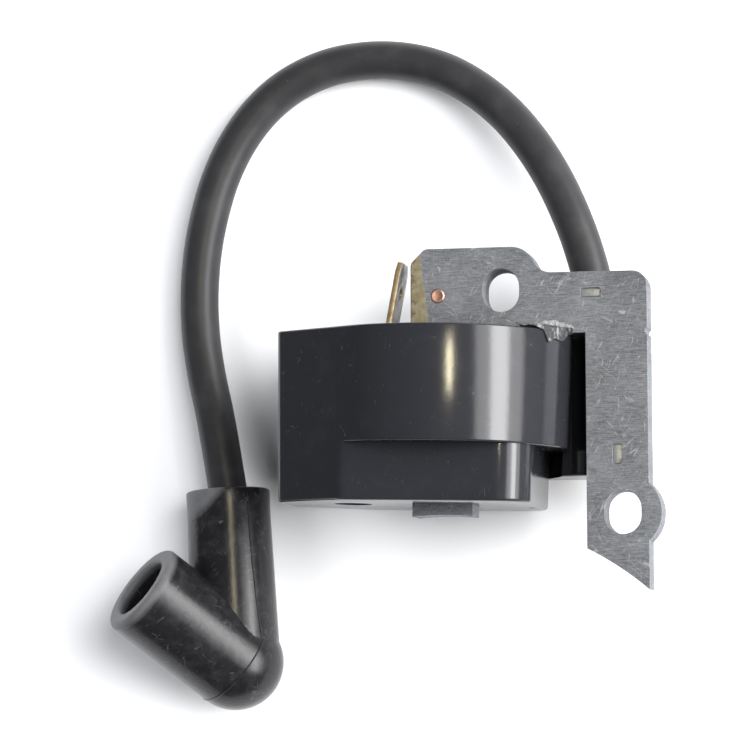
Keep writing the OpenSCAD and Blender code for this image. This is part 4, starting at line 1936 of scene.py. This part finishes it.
    def bore_plug(self) -> bpy.types.Mesh:
        """A solid of the tower's bore, which clears the web out of it."""
        plug = turned("bore_plug", rod(self.tower_bore, self.tower_floor, self.tower_top + 1), 96)
        return self.upright(plug, self.tower_at)


@dataclass
class KillTerminal:
    """The push-on blade for the stop switch wire."""

    at: Point2 = (-8.45, -2.4)
    top: float = 11.0
    wide: float = 6.3
    thick: float = 0.8
    lean: float = 10.5
    corner: float = 1.6
    hole_r: float = 0.9
    hole_down: float = 4.4

    def build(self) -> None:
        """Makes the blade."""
        height = self.top - self.at[1]
        half, cut = self.wide / 2, self.corner
        nose = [(half, height - cut), (half - cut * 0.3, height - cut * 0.35), (half - cut * 0.55, height)]
        outline = [(-half, 0.0), (half, 0.0)] + nose + [(-x, y) for x, y in reversed(nose)]
        hole = arc((0, height - self.hole_down), self.hole_r, 0, 345, 23)
        mesh = sheet_metal("kill_terminal", [outline, hole], self.thick, 0.09)
        lean = Matrix.Rotation(math.radians(-self.lean), 4, "Z")
        stand = lean @ Matrix.Rotation(math.radians(90), 4, "Y")
        mesh.transform(Matrix.Translation((*self.at, 0)) @ stand)
        add_piece(
            mesh, ON_CORE, 35, TinnedBrass(), "kill_terminal", Body.COIL, "tinned_brass", "kill_tab"
        )


@dataclass
class ResinFlash:
    """The torn skin of resin over the corner between the housing's rim and the crossbar."""

    left: float = 12.2
    right: float = 18.9
    face: float = 3.0
    radius: float = 18.3
    top: float = 1.5
    droop: float = 3.2
    thick: float = 0.16
    columns: int = 44
    rows: int = 16
    lift: float = 0.42
    gap: float = 0.06
    bar_share: float = 0.4
    step_share: float = 0.7
    droop_at: float = 0.72
    droop_wide: float = 0.2

    def point(self, u: float, v: float) -> Vector:
        """A point of the film's outer face.

        Args:
            u: From 0 at the left to 1 at the right.
            v: From 0 on the crossbar to 1 at the torn lower edge.

        Returns:
            The point, in millimetres.
        """
        tear = 0.7 + 0.17 * math.sin(13 * u + 0.6) + 0.13 * math.sin(31 * u + 2.1)
        x = self.left + (self.right - self.left) * u + 0.12 * math.sin(9 * v + 13 * u)
        wall = math.sqrt(max((self.radius + 0.12) ** 2 - min(x, self.radius - 0.3) ** 2, 1.0))
        out = self.face + self.gap
        crest = self.top * math.sin(math.pi * (0.12 + 0.8 * u)) ** 0.8 * (0.55 + 0.45 * tear)
        fold = 0.10 * math.sin(26 * u + 5 * v) + 0.06 * math.sin(57 * u - 9 * v)
        if v < self.bar_share:
            share = v / self.bar_share
            y = crest * (1 - share) + self.lift
            return Vector((x, y, out + abs(fold) * math.sin(math.pi * share)))
        if v < self.step_share:
            share = (v - self.bar_share) / (self.step_share - self.bar_share)
            y = self.lift + 0.07 * math.sin(math.pi * share) + 0.4 * abs(fold)
            return Vector((x, y, out + (wall - out) * share))
        share = (v - self.step_share) / (1 - self.step_share)
        lobe = math.exp(-(((u - self.droop_at) / self.droop_wide) ** 2))
        hang = self.droop * (0.1 + 0.9 * lobe) * tear
        return Vector((x, self.lift - hang * share, wall + abs(fold) * share + 0.05 * share))

    def build(self) -> None:
        """Makes the film as a thin crumpled sheet and gives it its thickness."""
        bm = bmesh.new()
        us = [i / (self.columns - 1) for i in range(self.columns)]
        vs = [j / (self.rows - 1) for j in range(self.rows)]
        grid = [[bm.verts.new(self.point(u, v)) for u in us] for v in vs]
        for low, high in zip(grid, grid[1:]):
            for i in range(self.columns - 1):
                bm.faces.new((low[i], high[i], high[i + 1], low[i + 1]))
        mesh = mesh_from(bm, "film")
        film = new_piece("film", mesh)
        wall = film.modifiers.new("wall", "SOLIDIFY")
        wall.thickness = self.thick
        wall.offset = 1.0
        solid = baked(film)
        bpy.data.objects.remove(film)
        solid.name = "resin_flash_film"
        add_piece(
            solid, ON_CORE, 40, TornFlash(), "resin_flash_film", Body.COIL, "flash_resin", "resin_flash"
        )


@dataclass
class EarthWire:
    """The bare wire behind the crossbar that joins the module to the copper plug."""

    radius: float = 0.32
    depth: float = -3.44
    line: tuple[Point2, ...] = (
        (-6.2, -2.2), (-6.0, -0.6), (-5.4, 1.4), (-4.0, 3.6), (-2.45, 5.0), (-1.5, 5.7)
    )

    def build(self) -> None:
        """Makes the wire."""
        points = [Vector((x, y, self.depth)) for x, y in self.line]
        smooth = smooth_line(points, 0.3)
        mesh = tube("earth_wire", smooth, lambda _: self.radius, 16)
        copper = BareMetal(
            "earth_wire_copper", (0.72, 0.36, 0.22), (0.42, 0.18, 0.09), 0.34, (1, 1, 1), 3.0
        )
        add_piece(mesh, ON_CORE, 60, copper, "earth_wire", Body.COIL, "copper", "ground_wire")


@dataclass
class Boot:
    """The angled rubber boot and the wire clip inside it."""

    elbow: Vector = field(default_factory=lambda: Vector((-37.0, -34.0, 7.05)))
    mouth: Vector = field(default_factory=lambda: Vector((-38.4, -8.7, 6.05)))
    rim: Vector = field(default_factory=lambda: Vector((-49.4, -23.15, 15.8)))
    arm_r: float = 7.05
    sleeve_low_r: float = 6.6
    sleeve_r: float = 6.05
    bore_r: float = 2.9
    socket_r: float = 4.55
    socket_deep: float = 12.5
    cavity_r: float = 3.4
    lip_round: float = 0.7
    rim_round: float = 0.95
    mouth_round: float = 0.35
    seam_r: float = 0.13
    seam_sunk: float = 0.02
    seam_start: float = 0.35
    seam_stop: float = 3.4
    coil_r: float = 2.6
    wire_r: float = 0.42
    coil_turns: float = 4.0
    coil_pitch: float = 1.1
    tip_in: float = 16.0

    def __post_init__(self) -> None:
        """Works out the two arms' directions and lengths."""
        self.sleeve_way = (self.mouth - self.elbow).normalized()
        self.arm_way = (self.rim - self.elbow).normalized()
        self.sleeve_len = (self.mouth - self.elbow).length
        self.arm_len = (self.rim - self.elbow).length
        self.level = self.sleeve_way.cross(self.arm_way).normalized()

    def sleeve(self) -> bpy.types.Mesh:
        """The tapered sleeve around the lead.

        Returns:
            The mesh, in its place.
        """
        end, r = self.sleeve_len - 0.1, self.sleeve_r
        steps = 30
        wall = []
        for i in range(steps + 1):
            t = i / steps
            swell = 0.12 * math.exp(-((t - 1.0) / 0.07) ** 2)
            out = self.sleeve_low_r + (r - self.sleeve_low_r) * t + swell
            wall.append((out, t * (end - self.mouth_round)))
        lip = arc((wall[-1][0] - self.mouth_round, end - self.mouth_round), self.mouth_round, 0, 90, 5)
        mesh = turned("sleeve", [(0, 0)] + wall[:-1] + lip + [(0, end)], 112)
        mesh.transform(toward(self.elbow, self.sleeve_way, self.level))
        return mesh

    def arm(self) -> bpy.types.Mesh:
        """The plug arm with its ball end and thick rim.

        Returns:
            The mesh, in its place.
        """
        r, end = self.arm_r, self.arm_len
        ball = arc((0, 0), r, -90, 0, 24)
        side = [(r, (end - self.rim_round) * i / 24) for i in range(1, 24)]
        lip = arc((r - self.rim_round, end - self.rim_round), self.rim_round, 0, 90, 8)
        mesh = turned("arm", [(0, -r)] + ball[1:] + side + lip + [(0, end)], 120)
        mesh.transform(toward(self.elbow, self.arm_way, self.level))
        return mesh

    def bores(self) -> list[bpy.types.Mesh]:
        """The solids of the sleeve's bore and of the stepped socket.

        Returns:
            The two meshes, in their places.
        """
        sleeve = turned("bore", rod(self.bore_r, 0, self.sleeve_len + 1), 72)
        sleeve.transform(toward(self.elbow, self.sleeve_way, self.level))
        step = self.arm_len - self.socket_deep
        flare = self.socket_r + self.lip_round
        lip = arc((flare, self.arm_len - self.lip_round), self.lip_round, 180, 90, 6)
        profile = [(0, -2), (self.cavity_r, -2), (self.cavity_r, step), (self.socket_r, step)]
        profile += lip[:-1] + [(flare, self.arm_len + 0.001), (flare, self.arm_len + 1)]
        profile += [(0, self.arm_len + 1)]
        socket = turned("socket", profile, 96)
        socket.transform(toward(self.elbow, self.arm_way, self.level))
        return [sleeve, socket]

    def seams(self) -> bpy.types.Mesh:
        """The raised lines that the mould's halves left.

        Returns:
            The mesh, in its place.
        """
        over = self.level
        beside = over.cross(self.sleeve_way)
        along = []
        for i in range(41):
            t = self.sleeve_len - self.seam_start - (self.sleeve_len - self.seam_stop) * i / 40
            share = (self.sleeve_len - t) / self.sleeve_len
            a = math.radians(-2 - 13 * share**2.4)
            r = self.sleeve_low_r + (self.sleeve_r - self.sleeve_low_r) * t / self.sleeve_len
            out = math.cos(a) * over + math.sin(a) * beside
            along.append(self.elbow + t * self.sleeve_way + (r - self.seam_sunk) * out)
        ring_over = self.arm_way.cross(self.sleeve_way).normalized()
        ring_side = ring_over.cross(self.arm_way)
        around = []
        for i in range(73):
            b = math.radians(146 + 240 * i / 72)
            out = math.cos(b) * ring_over + math.sin(b) * ring_side
            ball_seam = self.elbow + self.seam_start * self.arm_way
            around.append(ball_seam + (self.arm_r - self.seam_sunk) * out)
        tubes = [tube("seam", line, lambda _: self.seam_r, 8) for line in (along, around)]
        return join_meshes("boot_seams", tubes)

    def clip(self) -> bpy.types.Object:
        """The coiled wire clip, whose tail enters the lead.

        Returns:
            The clip.
        """
        side = self.level.cross(self.arm_way)
        bend = [
            Vector((self.coil_r, 0, 0)),
            Vector((self.coil_r * 0.6, 0, -0.7)),
            Vector((0.6, 0, -1.0)),
        ]
        start = self.elbow + 1.6 * self.arm_way
        stand = toward(start, self.arm_way, side)
        tail_line = [stand @ p for p in bend]
        steps = (1.4, 3.2, self.sleeve_len - self.tip_in + 5)
        tail_line += [self.elbow + step * self.sleeve_way for step in steps]
        tail = tube("clip_tail", smooth_line(tail_line, 0.4), lambda _: self.wire_r, 12)
        tail.transform(stand.inverted())
        tree = GeoTree("wire_clip")
        turns = tree.named("Turns", self.coil_turns)
        radius = tree.named("Coil Radius", self.coil_r)
        height = tree.named("Coil Height", self.coil_turns * self.coil_pitch)
        wire = tree.named("Wire Radius", self.wire_r)
        spiral = tree.add(
            "GeometryNodeCurveSpiral", None, Resolution=40, Rotations=turns, Start_Radius=radius,
            End_Radius=radius, Height=height,
        )
        ring = tree.add("GeometryNodeCurvePrimitiveCircle", None, Resolution=12, Radius=wire)
        coil = tree.add(
            "GeometryNodeCurveToMesh", None, Curve=spiral.outputs[0], Profile_Curve=ring.outputs[0],
            Fill_Caps=True,
        )
        both = tree.add("GeometryNodeJoinGeometry")
        tree.tree.links.new(coil.outputs[0], both.inputs[0])
        tree.tree.links.new(tree.geometry, both.inputs[0])
        steel = BareMetal("clip_steel", (0.62, 0.62, 0.64), (0.36, 0.35, 0.34), 0.25)
        mesh = tree.run(tail, both.outputs[0], steel.material())
        mesh.transform(stand)
        return add_piece(
            mesh, ON_PART, 50, None, "wire_clip", Body.BOOT, "spring_steel", "plug_terminal"
        )

    def build(self) -> tuple[bpy.types.Object, bpy.types.Object]:
        """Makes the boot and its clip.

        Returns:
            The boot and the clip.
        """
        steps = [(Cut.ADD, self.arm())] + [(Cut.TAKE, m) for m in self.bores()]
        mesh = combined(self.sleeve(), steps)
        mesh = join_meshes("rubber_boot", [mesh, self.seams()])
        rubber = BootRubber(self.rim, self.arm_way)
        boot = add_piece(mesh, ON_PART, 38, rubber, "rubber_boot", Body.BOOT, "boot_rubber", "plug_boot")
        return boot, self.clip()


class Internals:
    """The CAD pieces that keep their shape: windings, electronics, resin and hidden ends."""

    def finishes(self) -> dict[str, Any]:
        """The finish of each CAD node that stays.

        Returns:
            A finish for each node.
        """
        copper = BareMetal("strand_copper", (0.70, 0.33, 0.19), (0.42, 0.18, 0.09), 0.35)
        nylon = MouldedPart("bobbin_nylon", (0.66, 0.63, 0.53), (0.52, 0.47, 0.36), 0.42)
        jacket = PlainJacket()
        epoxy = MouldedPart("component_epoxy", (0.018, 0.018, 0.019), (0.04, 0.04, 0.042), 0.5, 7.0)
        return {
            "potting": CastResin("potting_resin"),
            "primary_bobbin": nylon,
            "secondary_bobbin": nylon,
            "primary_winding": WoundWire("primary_wire", 0.35),
            "secondary_winding": WoundWire("secondary_wire", 0.09, (0.5, 0.2, 0.07)),
            "trigger_winding": WoundWire("trigger_wire", 0.14),
            "primary_leads": copper,
            "lead_root_core": copper,
            "lead_tip_core": copper,
            "winding_tape": MouldedPart("winding_tape", (0.62, 0.38, 0.06), (0.5, 0.28, 0.04), 0.25, 2.0),
            "control_board": BoardLaminate(),
            "power_transistor": epoxy,
            "trigger_transistor": epoxy,
            "film_capacitor": MouldedPart(
                "capacitor_dip", (0.36, 0.03, 0.02), (0.25, 0.02, 0.015), 0.22, 1.5, 0.03
            ),
            "resistors": BandedBody("resistor_lacquer", (0.55, 0.42, 0.25), (0.28, 0.05, 0.02), 2, 0.7),
            "zener_diodes": BandedBody("diode_glass", (0.5, 0.12, 0.03), (0.02, 0.02, 0.02), 2, 1.4),
            "hv_contact": BareMetal("contact_brass", (0.72, 0.52, 0.24), (0.46, 0.3, 0.11), 0.3),
            "lead_root": jacket,
            "lead_tip": jacket,
            "lead_adhesive": MouldedPart(
                "lead_sealant", (0.03, 0.03, 0.03), (0.07, 0.07, 0.068), 0.4, 1.4, 0.06
            ),
        }

    def dress(self) -> None:
        """Gives each node its material."""
        made: dict[Any, bpy.types.Material] = {}
        for node, finish in self.finishes().items():
            if finish not in made:
                made[finish] = finish.material()
            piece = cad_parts[node]
            if piece.data.materials:
                for slot in piece.material_slots:
                    slot.material = made[finish]
            else:
                piece.data.materials.append(made[finish])
            log.info("%s: %s", node, made[finish].name)


def corners(box: Iterable[Vector]) -> list[list[float]]:
    """A box's two corners as plain lists."""
    return [list(corner) for corner in box]


def main() -> None:
    logging.basicConfig(level=logging.INFO, format="%(message)s")
    Viewpoint().build()
    Lead().build(*Boot().build())
    Core().build()
    Housing().build()
    KillTerminal().build()
    ResinFlash().build()
    EarthWire().build()
    Internals().dress()
    Studio().build()


if __name__ == "__main__":
    main()
